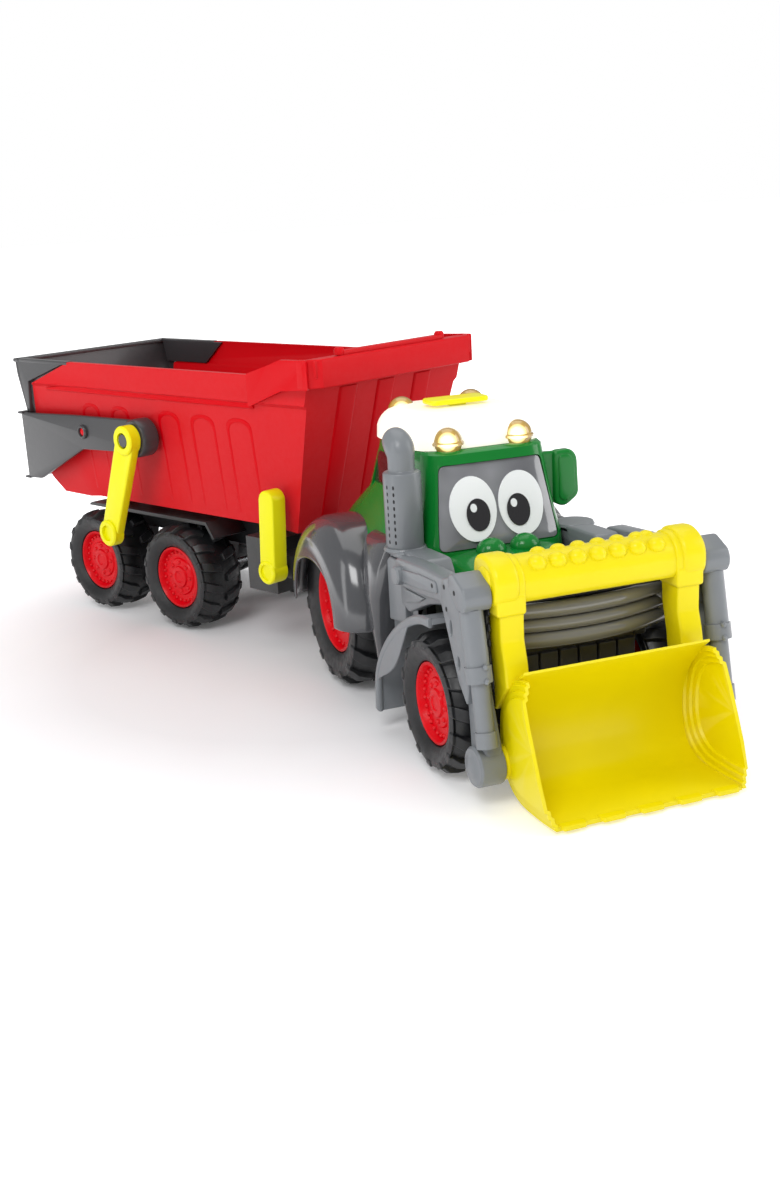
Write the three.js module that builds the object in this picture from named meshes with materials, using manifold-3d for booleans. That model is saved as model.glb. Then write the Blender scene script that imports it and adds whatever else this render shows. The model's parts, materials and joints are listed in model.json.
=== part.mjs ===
// Toy tractor with a front loader and a tipping trailer, in millimetres, +Z up. -Y is the tractor's
// forward direction and +X is its left. The trailer stands turned about the hitch pin.
// Dimensions are measured from the ground below the middle of the tractor's rear axle, and the
// finished toy is moved so that the origin is the middle of its overall box, on the ground.
import * as THREE from "three";
import { mergeVertices } from "three/addons/utils/BufferGeometryUtils.js";
import Module from "manifold-3d";

const wasm = await Module();
wasm.setup();

// ---- driving dimensions -------------------------------------------------------------------
const GAP = 0.3; // between two parts that touch
const WALL = 2.5; // moulded shells
const AXLE_R = 2;
const HOLE_PLAY = 0.35; // radial room of a pin in its hole

const REAR = { y: 0, r: 51, inner: 35, outer: 73, rim: 30 };
const FRONT = { y: -163, r: 38.5, inner: 40, outer: 76, rim: 23 };
const TRAILER_WHEEL = { r: 38.5, inner: 36, outer: 72, rim: 23 };
const TRAILER_AXLES = [162, 258]; // behind the hitch pin
const WHEEL_STEPS = 28;

const HITCH_Y = 55;
const TRAILER_TURN = THREE.MathUtils.degToRad(25);

const CAB = { half: 42, topHalf: 39.5, floor: 66, top: 156, rearTop: -3, deckEnd: 40 };
const ROOF = { z: 156.3, top: 175.5, front: -84, back: 1, half: 40, round: 15 };
const BUTTON = { low: 177, high: 180, half: 18.5 };
const SCREEN = { top: 149, bottom: 102, topHalf: 31, bottomHalf: 37, topY: -89.5, bottomY: -102.5 };
const HOOD = { front: -176, noseTop: 92, backTop: 98, half: 38 };

const ARM = { inner: 60, outer: 74, pivotY: -122, pivotZ: 99, footY: -216, footZ: 22 };
const BUCKET = { half: 53.5, bulge: 59, lipY: -262.5, topY: -233, topZ: 73, wall: 2.6 };
const BEAM = { y: -205, z: 112, half: 59.5, capWidth: 13 };

const BOX = { rim: 190, band: 176, floor: 88, rimHalf: 72, floorHalf: 62, frontTop: 4, frontLow: 35 };
const BOARD = { half: 78, top: 202, height: 18, front: -6 };
const GATE = { pivotY: 177, pivotZ: 141, inner: 73.5, outer: 77, back: 329 };
const TIP = { hingeY: 286, hingeZ: 74, leverY: 46, leverZ: 62 };

// ---- materials ----------------------------------------------------------------------------
const finish = (color, roughness, metalness = 0) =>
  new THREE.MeshStandardMaterial({ color, roughness, metalness });
const GREEN = finish(0x0f8a35, 0.3);
const RED = finish(0xd8101f, 0.32);
const YELLOW = finish(0xf2e205, 0.3);
const GREY = finish(0x7c8083, 0.35);
const DARK_GREY = finish(0x4a4a4c, 0.4);
const BLACK = finish(0x1c1c1f, 0.5);
const TYRE = finish(0x2a2b2d, 0.6);
const WHITE = finish(0xf7f4ea, 0.35);
const AMBER = finish(0xe0a020, 0.15);
const GLASS = finish(0x55555a, 0.2);
const STEEL = finish(0xb8babd, 0.3, 1);
const BOARD_GREEN = finish(0x1f5a34, 0.6);

// ---- solids -------------------------------------------------------------------------------
// A closed geometry as a manifold-3d solid, turned right side out.
function solid(geometry) {
  const bare = geometry.index ? geometry.toNonIndexed() : geometry.clone();
  bare.deleteAttribute("normal");
  bare.deleteAttribute("uv");
  const merged = mergeVertices(bare, 1e-4);
  const kept = [];
  const index = merged.index.array;
  for (let i = 0; i < index.length; i += 3) {
    const [a, b, c] = index.slice(i, i + 3);
    if (a !== b && b !== c && a !== c) kept.push(a, b, c);
  }
  const vertProperties = merged.attributes.position.array;
  const made = (order) =>
    new wasm.Manifold(new wasm.Mesh({ numProp: 3, vertProperties, triVerts: new Uint32Array(order) }));
  const first = made(kept);
  return first.volume() < 0 ? made([...kept].reverse()) : first;
}

function geometryOf(body) {
  const { numProp, vertProperties, triVerts } = body.getMesh();
  const positions = new Float32Array((vertProperties.length / numProp) * 3);
  for (let i = 0; i < positions.length / 3; i++)
    positions.set(vertProperties.subarray(i * numProp, i * numProp + 3), i * 3);
  return new THREE.BufferGeometry()
    .setAttribute("position", new THREE.BufferAttribute(positions, 3))
    .setIndex(new THREE.BufferAttribute(new Uint32Array(triVerts), 1));
}

const sorted = (span) => [Math.min(...span), Math.max(...span)];

function block(xs, ys, zs) {
  const [[x0, x1], [y0, y1], [z0, z1]] = [sorted(xs), sorted(ys), sorted(zs)];
  const box = new THREE.BoxGeometry(x1 - x0, y1 - y0, z1 - z0);
  return solid(box.translate((x0 + x1) / 2, (y0 + y1) / 2, (z0 + z1) / 2));
}

// An outline with its corners rounded off by the given radius.
function outline(points, radius = 0) {
  const shape = new THREE.Shape();
  const corner = points.map(([a, b]) => new THREE.Vector2(a, b));
  if (!radius) return shape.setFromPoints(corner);
  corner.forEach((at, i) => {
    const before = corner.at(i - 1);
    const after = corner[(i + 1) % corner.length];
    const cut = Math.min(radius, at.distanceTo(before) / 2.05, at.distanceTo(after) / 2.05);
    const enter = at.clone().add(before.clone().sub(at).setLength(cut));
    const leave = at.clone().add(after.clone().sub(at).setLength(cut));
    if (i) shape.lineTo(enter.x, enter.y);
    else shape.moveTo(enter.x, enter.y);
    shape.quadraticCurveTo(at.x, at.y, leave.x, leave.y);
  });
  shape.closePath();
  return shape;
}

const SLAB_BASES = {
  x: [new THREE.Vector3(0, 1, 0), new THREE.Vector3(0, 0, 1), new THREE.Vector3(1, 0, 0)],
  y: [new THREE.Vector3(1, 0, 0), new THREE.Vector3(0, 0, 1), new THREE.Vector3(0, -1, 0)],
  z: [new THREE.Vector3(1, 0, 0), new THREE.Vector3(0, 1, 0), new THREE.Vector3(0, 0, 1)],
};

// An outline pushed along one axis: (y, z) along x, (x, z) along y, or (x, y) along z.
function slab(axis, shape, span, curveSegments = 2) {
  const [low, high] = sorted(span);
  const drawn = Array.isArray(shape) ? outline(shape) : shape;
  const geometry = new THREE.ExtrudeGeometry(drawn, {
    depth: high - low,
    bevelEnabled: false,
    curveSegments,
  });
  geometry.applyMatrix4(new THREE.Matrix4().makeBasis(...SLAB_BASES[axis]));
  const start = { x: [low, 0, 0], y: [0, high, 0], z: [0, 0, low] }[axis];
  return solid(geometry.translate(...start));
}

// A turned body about an axis along x. Its profile is a list of [radius, x].
function turned(profile, y, z, steps = 20) {
  const points = profile.map(([r, x]) => new THREE.Vector2(r, x));
  const geometry = new THREE.LatheGeometry(points, steps, Math.PI / steps);
  return solid(geometry.rotateZ(-Math.PI / 2).translate(0, y, z));
}

const rod = (r, [x0, x1], y, z, steps = 14) =>
  turned([[0, x0], [r, x0], [r, x1], [0, x1]], y, z, steps);

function post(r, [z0, z1], x, y, steps = 14, topR = r) {
  const geometry = new THREE.CylinderGeometry(topR, r, z1 - z0, steps);
  return solid(geometry.rotateX(Math.PI / 2).translate(x, y, (z0 + z1) / 2));
}

function ball(r, x, y, z, steps = 12) {
  return solid(new THREE.SphereGeometry(r, steps, steps / 2).translate(x, y, z));
}

const join = (...parts) => parts.reduce((sum, part) => sum.add(part));

// A ring round a closed profile needs its first point again at the end.
const closed = (profile) => [...profile, profile[0]];

// ---- the model's groups -------------------------------------------------------------------
const tractor = new THREE.Group();
const trailer = new THREE.Group();
trailer.position.y = HITCH_Y;
trailer.rotation.z = TRAILER_TURN;
const toy = new THREE.Group().add(tractor, trailer);

function place(group, name, body, material) {
  const mesh = new THREE.Mesh(geometryOf(body), material);
  mesh.name = name;
  group.add(mesh);
}

const SIDES = [["right", -1], ["left", 1]];

// ---- wheels -------------------------------------------------------------------------------
// One flat of the tread lies on the ground, so the corners stand a little outside the radius.
function tyre(wheel, side, y) {
  const { inner: a, outer: b } = wheel;
  const r = wheel.r / Math.cos(Math.PI / WHEEL_STEPS);
  const bore = (wheel.rim + GAP) / Math.cos(Math.PI / WHEEL_STEPS);
  const profile = [[bore, a + 3], [bore, b - 3], [bore + 3, b - 0.5], [r * 0.84, b], [r, b - 6], [r, a + 6],
    [r * 0.84, a]];
  return turned(closed(profile).map(([rr, x]) => [rr, side * x]), y, wheel.r, WHEEL_STEPS);
}

// A dished disc with a barrel under the tyre and a boss that takes the axle's end.
function rim(wheel, side, y) {
  const { inner: a, outer: b, rim: r } = wheel;
  const hole = AXLE_R + HOLE_PLAY;
  const disc = b - 8;
  const profile = [[0, disc], [r - 4, disc], [r - 2.2, b - 3.5], [r, b - 3.5], [r, a + 3], [r - 2.5, a + 3],
    [r - 2.5, disc - 3], [7, disc - 3], [6, a + 2], [hole, a + 2], [hole, disc - 2.5], [0, disc - 2.5]];
  return turned(profile.map(([rr, x]) => [rr, side * x]), y, wheel.r, 16);
}

function wheelSet(group, prefix, wheel, y) {
  for (const [word, side] of SIDES) {
    place(group, `${prefix}_tyre_${word}`, tyre(wheel, side, y), TYRE);
    place(group, `${prefix}_rim_${word}`, rim(wheel, side, y), RED);
  }
  const end = wheel.outer - 8 - WALL - 0.4;
  place(group, `${prefix}_axle`, rod(AXLE_R, [-end, end], y, wheel.r), STEEL);
}

// ---- tractor: chassis and what it holds ---------------------------------------------------
const CHASSIS = { half: 31, back: 42, front: -176, low: 24, top: 65 };
const BATTERY = { r: 7.2, x: 9, z: 38, ys: [-112, -62] };

function tractorChassis() {
  const { half, back, front, low, top } = CHASSIS;
  const tub = block([-half, half], [front, back], [low, top]);
  const hollow = block([-half + 3, half - 3], [-148, -18], [low + 3, top + 1]);
  const tongue = block([-9, 9], [back - 3, HITCH_Y + 7], [40, 45]);
  const hatch = block([-20, 20], [-118, -56], [low - 1, low + 4]);
  const speakerHoles = [-6, 0, 6].map((x) => block([x - 1, x + 1], [-46, -28], [low - 1, low + 4]));
  const axles = [REAR, FRONT].map((w) => rod(AXLE_R + HOLE_PLAY, [-40, 40], w.y, w.r));
  const pinHole = post(3 + HOLE_PLAY, [35, 50], 0, HITCH_Y);
  const ledges = [-1, 1].map((s) => block([s * 22, s * 29], [-100, -92], [low + 1, 52]));
  return join(tub.subtract(join(hollow, hatch, ...speakerHoles)), tongue, ...ledges)
    .subtract(join(...axles, pinHole));
}

function hitchPin() {
  return join(post(3, [36, 58], 0, HITCH_Y), post(5, [36, 39.7], 0, HITCH_Y),
    post(4, [57, 60], 0, HITCH_Y));
}

function battery(x) {
  const cell = post(BATTERY.r, [0, BATTERY.ys[1] - BATTERY.ys[0]], 0, 0);
  const nub = post(2.6, [49, 51.5], 0, 0, 12);
  const upright = geometryOf(cell.add(nub));
  return solid(upright.rotateX(-Math.PI / 2).translate(x, BATTERY.ys[0], BATTERY.z));
}

function batteryCover() {
  const { low } = CHASSIS;
  const plate = block([-20 + GAP, 20 - GAP], [-118 + GAP, -56 - GAP], [low, low + 2.7]);
  const grips = [-70, -76, -82].map((y) => block([-12, 12], [y - 1, y + 1], [low - 1, low + 0.7]));
  return plate.subtract(join(...grips));
}

function speaker() {
  const z = CHASSIS.low + 3 + GAP;
  return join(post(14, [z, z + 3], 0, -37), post(11, [z + 2, z + 8], 0, -37, 20, 7));
}

const circuitBoard = () => join(block([-25, 25], [-110, -80], [52 + GAP, 54]),
  block([-10, 2], [-104, -94], [53.9, 56.5]));

// ---- tractor: cab, hood and roof ----------------------------------------------------------
// The cab and hood: a side outline trimmed to a front outline and a plan outline, all drawn in by inset.
function cabSolid(inset) {
  const { half, topHalf, floor, top, rearTop, deckEnd } = CAB;
  const i = inset;
  const low = floor - (inset ? 5 : 0);
  const side = outline([[deckEnd - i, low], [deckEnd - i, 96 - i], [19 - i, 115 - i], [rearTop - i, top - i],
    [-80 + i, top - i], [SCREEN.topY - 1 + i, 151 - i], [SCREEN.bottomY - 1 + i, HOOD.backTop + 2 - i],
    [HOOD.front + i, HOOD.noseTop - i], [HOOD.front + i, low]], 4);
  const front = outline([[-half + i, low], [half - i, low], [half - i, 105], [topHalf - i, top - i],
    [-topHalf + i, top - i], [-half + i, 105]], 5);
  const plan = outline([[-half + i, deckEnd - i], [-half + i, -86], [-HOOD.half + i, -104],
    [-HOOD.half + 2 + i, HOOD.front + i], [HOOD.half - 2 - i, HOOD.front + i], [HOOD.half - i, -104],
    [half - i, -86], [half - i, deckEnd - i]]);
  return slab("x", side, [-60, 60])
    .intersect(slab("y", front, [-200, 60]))
    .intersect(slab("z", plan, [low - 5, 170]));
}

const screenTrapezoid = (grow) => [[-SCREEN.bottomHalf - grow, SCREEN.bottom - grow],
  [SCREEN.bottomHalf + grow, SCREEN.bottom - grow], [SCREEN.topHalf + grow, SCREEN.top + grow],
  [-SCREEN.topHalf - grow, SCREEN.top + grow]];

const SIDE_WINDOW = [[-72, 113], [-66, 149], [-12, 149], [4, 114]];

function mirror() {
  const face = outline([[43, 115], [52, 113], [61, 122], [60, 146], [56, 150], [43, 150]], 3);
  return slab("y", face, [-84, -78]).add(block([38, 46], [-82.5, -79.5], [132, 146]));
}

function cabShell() {
  const shell = cabSolid(0).add(mirror()).subtract(cabSolid(WALL));
  const screen = slab("y", outline(screenTrapezoid(GAP), 4), [-112, -84]);
  const sides = slab("x", outline(SIDE_WINDOW, 4), [-45, 45]);
  const back = slab("y", outline([[-27, 120], [27, 120], [25, 149], [-25, 149]], 4), [-14, 34]);
  const stemHole = block([-6, 6], [-49, -39], [150, 160]);
  const wheelWells = [-1, 1].map((s) => rod(REAR.r + 2.5, [s * 34.3, s * 60], REAR.y, REAR.r, 28));
  return shell.subtract(join(screen, sides, back, stemHole, ...wheelWells));
}

function windscreen() {
  const { topY, bottomY, top, bottom } = SCREEN;
  const sheet = [[topY, top], [bottomY, bottom], [bottomY + 2.4, bottom], [topY + 2.4, top]];
  return slab("x", sheet, [-40, 40]).intersect(slab("y", outline(screenTrapezoid(-GAP), 4), [-112, -80]));
}

// The dark panels behind the side and rear windows are one insert.
function cabGlazing() {
  const grown = SIDE_WINDOW.map(([y, z]) => [y + (y < -40 ? -2 : 2), z + (z < 130 ? -2 : 1.5)]);
  const sides = [-1, 1].map((s) => slab("x", grown, [s * 34, s * 35.8]));
  return join(block([-35, 35], [-12, -10], [117, 150]), ...sides);
}

function roofShape(inset) {
  const { z, top, front, back, half, round } = ROOF;
  const i = inset;
  const low = inset ? z - 5 : z;
  const corner = round - i * 0.5;
  const side = outline([[front + i, low], [front + i, top - i], [back - i, top - i],
    [back - i, low]], corner);
  const face = outline([[-half + i, low], [half - i, low], [half - i, top - i],
    [-half + i, top - i]], corner);
  const fullSide = slab("x", side, [-60, 60]).add(block([-60, 60], [front + i, back - i], [low, z + 4]));
  const fullFace = slab("y", face, [-100, 20]).add(block([-half + i, half - i], [-100, 20], [low, z + 4]));
  return fullSide.intersect(fullFace);
}

// Each pair of lamp domes is one clear moulding with a bar under the roof.
const LAMPS = { front: { x: 22, y: -81, z: 160.5, bar: 157 }, rear: { x: 23, y: -15, z: 171, bar: 165 } };
const LAMP_R = 8.5;

function roofCap() {
  const domes = Object.values(LAMPS)
    .flatMap(({ x, y, z }) => [-x, x].map((at) => ball(LAMP_R + GAP + 0.1, at, y, z)));
  const stemHole = block([-5.6, 5.6], [-48.6, -39.4], [165, 185]);
  return roofShape(0).subtract(join(roofShape(2.2), ...domes, stemHole));
}

function lampPair({ x, y, z, bar }) {
  const domes = [-x, x].map((at) => ball(LAMP_R, at, y, z, 12));
  const above = block([-x - 10, x + 10], [y - 10, y + 10], [ROOF.z + GAP, 190]);
  return join(block([-x, x], [y + 1, y + 5], [bar, bar + 3]), ...domes).intersect(above);
}

function roofButton() {
  const { low, high, half } = BUTTON;
  const plate = slab("z", outline([[-half, -53], [half, -53], [half, -35], [-half, -35]], 4), [low, high]);
  return join(plate, block([-5, 5], [-48, -40], [162, low + 1]));
}

// A bent strip under the button's stem that pushes the button back up.
function buttonSpring() {
  const strip = [[-62, 156.4], [-52, 156.4], [-44, 161.1], [-40, 161.1], [-40, 161.7], [-44.2, 161.7],
    [-52.2, 157], [-62, 157]];
  return slab("x", strip, [-4, 4]);
}

// ---- tractor: exhaust, nose, fenders ------------------------------------------------------
const EXHAUST = { x: -53.6, y: -88, r: 10.8, pipe: 7.6, base: 105.3 };

function exhaustStack() {
  const { x, y, r, pipe: pipeR, base } = EXHAUST;
  const path = new THREE.CatmullRomCurve3([[0, 148], [0, 154], [0.5, 159], [3.5, 163], [8, 165]]
    .map(([dy, z]) => new THREE.Vector3(x, y + dy, z)));
  const circle = new THREE.Shape().absarc(0, 0, pipeR, 0, Math.PI * 2);
  const pipe = solid(new THREE.ExtrudeGeometry(circle, { extrudePath: path, steps: 8, curveSegments: 6 }));
  return join(post(r, [base, 148], x, y, 16), post(r, [148, 150], x, y, 16, r - 1.5), pipe);
}

// The dark nose under and in front of the hood, with upright slats.
function grille() {
  const body = join(block([-35, 35], [-190, HOOD.front - GAP], [30, 94]),
    slab("x", outline([[-190, 94], [HOOD.front - GAP, 94], [HOOD.front - GAP, 97],
      [-182, 97]]), [-33, 33]));
  const slots = Array.from({ length: 9 }, (_, i) => -28 + i * 7)
    .map((x) => block([x - 0.8, x + 0.8], [-192, -187.5], [34, 62]));
  return body.subtract(join(...slots));
}

const bumperArc = (y, half, sag, depth) => {
  const shape = new THREE.Shape();
  shape.moveTo(-half, y + sag);
  shape.quadraticCurveTo(0, y - sag, half, y + sag);
  shape.lineTo(half, y + sag + depth);
  shape.quadraticCurveTo(0, y - sag + depth, -half, y + sag + depth);
  shape.closePath();
  return shape;
};

function frontBumper() {
  const ribs = [[71, 78, 0], [80, 86, 0.6], [88, 95, 1]]
    .map(([z0, z1, back]) => slab("z", bumperArc(-200 + back, 52, 6.5, 5), [z0, z1], 6));
  const web = slab("z", bumperArc(-197.5, 52, 6.5, 3), [73, 93], 6);
  const knobs = [-50, 50].map((x) => post(5, [79, 92], x, -190.5, 10));
  const mounts = [-25, 25].map((x) => block([x - 5, x + 5], [-196, -190 - GAP], [73, 79]));
  const wheelRoom = rod(FRONT.r + 2.5, [-80, 80], FRONT.y, FRONT.r, 24);
  return join(web, ...ribs, ...knobs, ...mounts).subtract(wheelRoom);
}

const FENDER = { r: 58, inner: 43.5, outer: 83, low: 48, round: 12 };

// A half-round hood over the rear wheel, with a skirt that has an oval opening.
function fender(side) {
  const { r, inner, outer, low, round } = FENDER;
  const domed = (inset, from) => {
    const end = outer - inset;
    const arc = [0, 30, 60, 90].map((deg) => {
      const a = THREE.MathUtils.degToRad(deg);
      return [r - inset - round + round * Math.cos(a), end - round + round * Math.sin(a)];
    });
    const profile = [[0, from], [r - inset, from], ...arc, [0, end]];
    return turned(profile.map(([rr, x]) => [rr, side * x]), REAR.y, REAR.r, 28);
  };
  const shell = domed(0, inner).subtract(domed(WALL, inner - 5));
  const upper = block([side * 30, side * 90], [-70, 70], [low, 130]);
  const opening = new THREE.Shape().absellipse(0, REAR.r - 3, 45, 35, 0, Math.PI * 2);
  const foot = block([side * inner, side * (outer - round)], [-r, -r + WALL], [low, REAR.r]);
  return shell.intersect(upper).add(foot)
    .subtract(slab("x", opening, [side * (outer - WALL - 8), side * 95], 6));
}

// The step, the front mudguard and the tower that carries the loader, as one moulding. The mudguard
// hangs straight down behind the wheel and curves forward over it.
const SIDE_FRAME = { inner: 44, outer: 59, mudOuter: 76 };
const GUARD_OUTSIDE = [[-91, 13], [-92.5, 31], [-96.5, 41], [-103, 50], [-111, 58.5], [-120, 66],
  [-130, 72.8], [-141, 79], [-153, 84.2], [-165, 87.6], [-176, 88.6]];
const GUARD_INSIDE = [[-176, 85.6], [-165.3, 84.6], [-154, 81.2], [-142.5, 76.2], [-131.7, 70.1],
  [-122, 63.5], [-113.2, 56.2], [-105.6, 48.2], [-99.3, 39.6], [-95.5, 30.5], [-94, 13]];

function sideFrame(side) {
  const { inner, outer, mudOuter } = SIDE_FRAME;
  const { y, r: z } = FRONT;
  const mudguard = slab("x", [...GUARD_OUTSIDE, ...GUARD_INSIDE], [side * 41, side * mudOuter]);
  const step = slab("x", [[-59, 22], [-59, 76], [-114, 76], [-114, 60], [-97, 35], [-95, 22]],
    [side * inner, side * outer]);
  const flap = block([side * inner, side * 67], [-59, -62], [20, 82]);
  const towerSide = outline([[-76, 70], [-76, 103], [-130, 108], [-136, 100], [-136, 84], [-110, 70]], 3);
  const tower = slab("x", towerSide, [side * inner, side * outer]);
  const slotSide = outline([[-97, 80], [-97, 96], [-106, 96], [-106, 80]], 2);
  const slot = slab("x", slotSide, [side * 52, side * 62]);
  const bridge = block([side * 32, side * (inner + 1)], [-104, -64], [40, 64]);
  const wheelWell = rod(FRONT.r + 6, [side * 30, side * 80], y, z, 28);
  const { pivotY, pivotZ, outer: armOuter } = ARM;
  const stud = rod(4, [side * 50, side * (armOuter - 1)], pivotY, pivotZ);
  const studHead = rod(6.5, [side * (armOuter - 2 + GAP), side * (armOuter + 0.5)], pivotY, pivotZ);
  return join(step, flap, tower, bridge)
    .subtract(wheelWell)
    .subtract(slot)
    .add(join(mudguard, stud, studHead));
}

// ---- loader -------------------------------------------------------------------------------
function loaderArm(side) {
  const { inner, outer, pivotY, pivotZ, footY, footZ } = ARM;
  const boom = outline([[-112, 92], [-112, 107], [-130, 109], [-186, 111], [-210, 111], [-213, 60],
    [-224, 12], [-206, 12], [-204.5, 40], [-203, 57], [-191, 71], [-178, 93.5], [-165, 92], [-153, 89],
    [-141, 84.5], [-124, 77.5], [-112, 80]], 2.5);
  const plate = slab("x", boom, [side * inner, side * (outer - 2)]);
  const capSide = outline([[-187, 100], [-187, 114], [-192, 118], [-214, 112], [-216, 103], [-208, 97]], 1.5);
  const cap = slab("x", capSide, [side * inner, side * (outer + 1.5)]);
  const cylinder = slab("x", outline([[-202, 99], [-217, 99], [-222, 68], [-208, 68]], 1.5),
    [side * (inner + 1), side * outer]);
  const ram = slab("x", outline([[-210, 72], [-221, 72], [-228, 38], [-217, 38]], 2),
    [side * (inner + 2), side * (outer - 1)]);
  const foot = rod(10, [side * inner, side * (outer + 1.5)], footY, footZ, 16);
  const pivotHole = rod(4 + HOLE_PLAY, [side * 55, side * 80], pivotY, pivotZ);
  const pinHole = rod(3 + HOLE_PLAY, [side * 55, side * 74], footY, footZ);
  const bossRecess = rod(1.8, [side * (outer - 3), side * 80], -170, 103, 12);
  return join(plate, cap, cylinder, ram, foot).subtract(join(pivotHole, pinHole, bossRecess));
}

// Two dark side plates joined by a tube behind the handle bar.
function loaderCrossFrame() {
  const edge = outline([[-193, 101], [-207, 101], [-208, 60], [-207, 28], [-203.5, 28], [-203, 58],
    [-195, 72]], 2);
  const plates = [-1, 1].map((side) => slab("x", edge, [side * 57.4, side * (ARM.inner - GAP)]));
  return join(...plates, rod(2.4, [-58.5, 58.5], -197, 98.2, 12));
}

// ---- bucket -------------------------------------------------------------------------------
// The scoop's skin in the (y, z) plane: outer line from lip to top edge, drawn in by inset.
function scoopLine(inset) {
  const { lipY, topY, topZ } = BUCKET;
  const i = inset;
  const shape = new THREE.Shape();
  shape.moveTo(lipY, 2.5 + i);
  shape.lineTo(-232, 1.5 + i);
  shape.bezierCurveTo(-214 - i, 2 + i, -205 - i, 14, -206 - i, 34);
  shape.bezierCurveTo(-207 - i, 50, -214 - i, 62 - i, topY, topZ - i);
  return shape;
}

// The front edge of the scoop's side walls, from the lip up to the top edge.
const sideEdge = [[-263, 3], [-262, 14], [-259, 28], [-241, 62], [-236, 68], [-233, 73]];

function bucket() {
  const { half, bulge, wall, lipY, topY, topZ } = BUCKET;
  const outerLine = scoopLine(0);
  sideEdge.slice(0, -1).reverse().forEach(([y, z]) => outerLine.lineTo(y, z));
  const innerLine = scoopLine(wall);
  [[topY - 14, topZ + 4], [lipY - 14, topZ + 4], [lipY - 14, 2.5 + wall]]
    .forEach(([y, z]) => innerLine.lineTo(y, z));
  innerLine.closePath();
  const body = slab("x", outerLine, [-half, half], 5);
  const cheekSide = outline([[-261, 16], [-259, 28], [-241, 60], [-222, 62], [-212, 50], [-211, 26],
    [-218, 14], [-232, 12]], 4);
  const cheeks = [-1, 1].map((s) => slab("x", cheekSide, [s * (half - 1), s * bulge]));
  const hollowSide = outline([[-272, 18], [-272, 58], [-224, 59], [-215, 48], [-214, 28], [-221, 17]], 4);
  const hollowCheeks = [-1, 1].map((s) => slab("x", hollowSide, [s * (half - 4), s * (bulge - 2.2)]));
  const hollow = slab("x", innerLine, [-half + 2.4, half - 2.4], 5);
  const teeth = Array.from({ length: 5 }, (_, n) => -42 + n * 21)
    .map((x) => block([x - 6, x + 6], [lipY - 3, lipY + 2], [2.2, 5]));
  const uprightSide = outline([[-222, 64], [-218, 80], [-217.5, 101.2], [-200.5, 101.2], [-202, 84],
    [-206, 66], [-206, 40], [-210, 30], [-214, 45]], 1.5);
  const uprights = [-1, 1].map((s) => slab("x", uprightSide, [s * 46, s * 56.8]));
  const lugs = [-1, 1].map((s) => rod(8, [s * 50.5, s * 57], ARM.footY, ARM.footZ));
  const pinHoles = [-1, 1].map((s) => rod(3 + HOLE_PLAY, [s * 54.7, s * 70], ARM.footY, ARM.footZ));
  return join(body, ...cheeks)
    .subtract(join(hollow, ...hollowCheeks))
    .add(join(...teeth, ...uprights, ...lugs))
    .subtract(join(...pinHoles));
}

const bucketPin = (side) => rod(3, [side * 55, side * 72.5], ARM.footY, ARM.footZ);

function handleBar() {
  const { y, z, half, capWidth } = BEAM;
  const section = outline([[y - 12, z - 10.5], [y - 12.5, z + 4], [y - 4, z + 12.5], [y + 9, z + 11],
    [y + 10, z - 8], [y + 4, z - 10.5]], 5);
  const capSection = outline([[y - 14.5, z - 10.5], [y - 15, z + 5], [y - 5, z + 15], [y + 10, z + 13.5],
    [y + 12.5, z], [y + 11, z - 10.5]], 7);
  const bar = slab("x", section, [-half + 2, half - 2]);
  const caps = [-1, 1].map((s) => slab("x", capSection, [s * (half - capWidth), s * half]));
  const bumps = Array.from({ length: 7 }, (_, n) => (n - 3) * 11)
    .map((x) => ball(4.6, x, y - 5, z + 10.5, 8));
  return join(bar, ...caps, ...bumps);
}

// ---- trailer: chassis and latch -----------------------------------------------------------
function trailerChassis() {
  const [front, rear] = TRAILER_AXLES;
  const { r } = TRAILER_WHEEL;
  const rails = [-1, 1].map((s) => block([s * 18, s * 30], [30, 292], [60, 78]));
  const crosses = [30, 130, 210, 260].map((y) => block([-20, 20], [y, y + 8], [60, 78]));
  const hangerSide = (y) => outline([[y - 16, 62], [y - 8, 32], [y + 8, 32], [y + 16, 62]], 3);
  const hangers = [-1, 1].flatMap((s) =>
    [front, rear].map((y) => slab("x", hangerSide(y), [s * 20, s * 30])));
  const guardSide = [[front - 36, 70], [front - 28, 81], [rear + 14, 81], [rear + 18, 78.6],
    [front - 27, 78.6], [front - 34, 69]];
  const guards = [-1, 1].map((s) => slab("x", guardSide, [s * 29, s * 60]));
  const drawbar = slab("x", [[4, 47], [4, 53], [14, 53], [34, 78], [40, 78], [40, 60], [24, 47]], [-8, 8]);
  const brackets = [-1, 1].map((s) => block([s * 29, s * 66], [55, 84], [42, 79])
    .subtract(block([s * 32, s * 62], [58, 85], [38, 76])));
  const frontCross = block([-66, 66], [TIP.leverY - 6, TIP.leverY + 12], [55, 70]);
  const bores = [[AXLE_R, 40, front, r], [AXLE_R, 40, rear, r], [3.5, 80, TIP.leverY, TIP.leverZ],
    [2.5, 40, TIP.hingeY, TIP.hingeZ]]
    .map(([radius, half, y, z]) => rod(radius + HOLE_PLAY, [-half, half], y, z, 16));
  const latchRoom = block([-12, 12], [TIP.leverY - 7, TIP.leverY + 15], [54, 90]);
  return join(...rails, ...crosses, ...hangers, ...guards, ...brackets, frontCross, drawbar,
    post(8, [47, 53], 0, 0, 18))
    .subtract(join(...bores, latchRoom, post(3 + HOLE_PLAY + 0.3, [40, 60], 0, 0)));
}

// The shaft under the box, with a nose behind the rib of the box.
function latchShaft() {
  const { leverY: y, leverZ: z } = TIP;
  const nose = slab("x", outline([[y - 4, z], [y - 2, z + 22], [y + 2, z + 22], [y + 4, z]], 1.5), [-8, 8]);
  return join(rod(3.5, [-76, 64], y, z, 16), nose);
}

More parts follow.
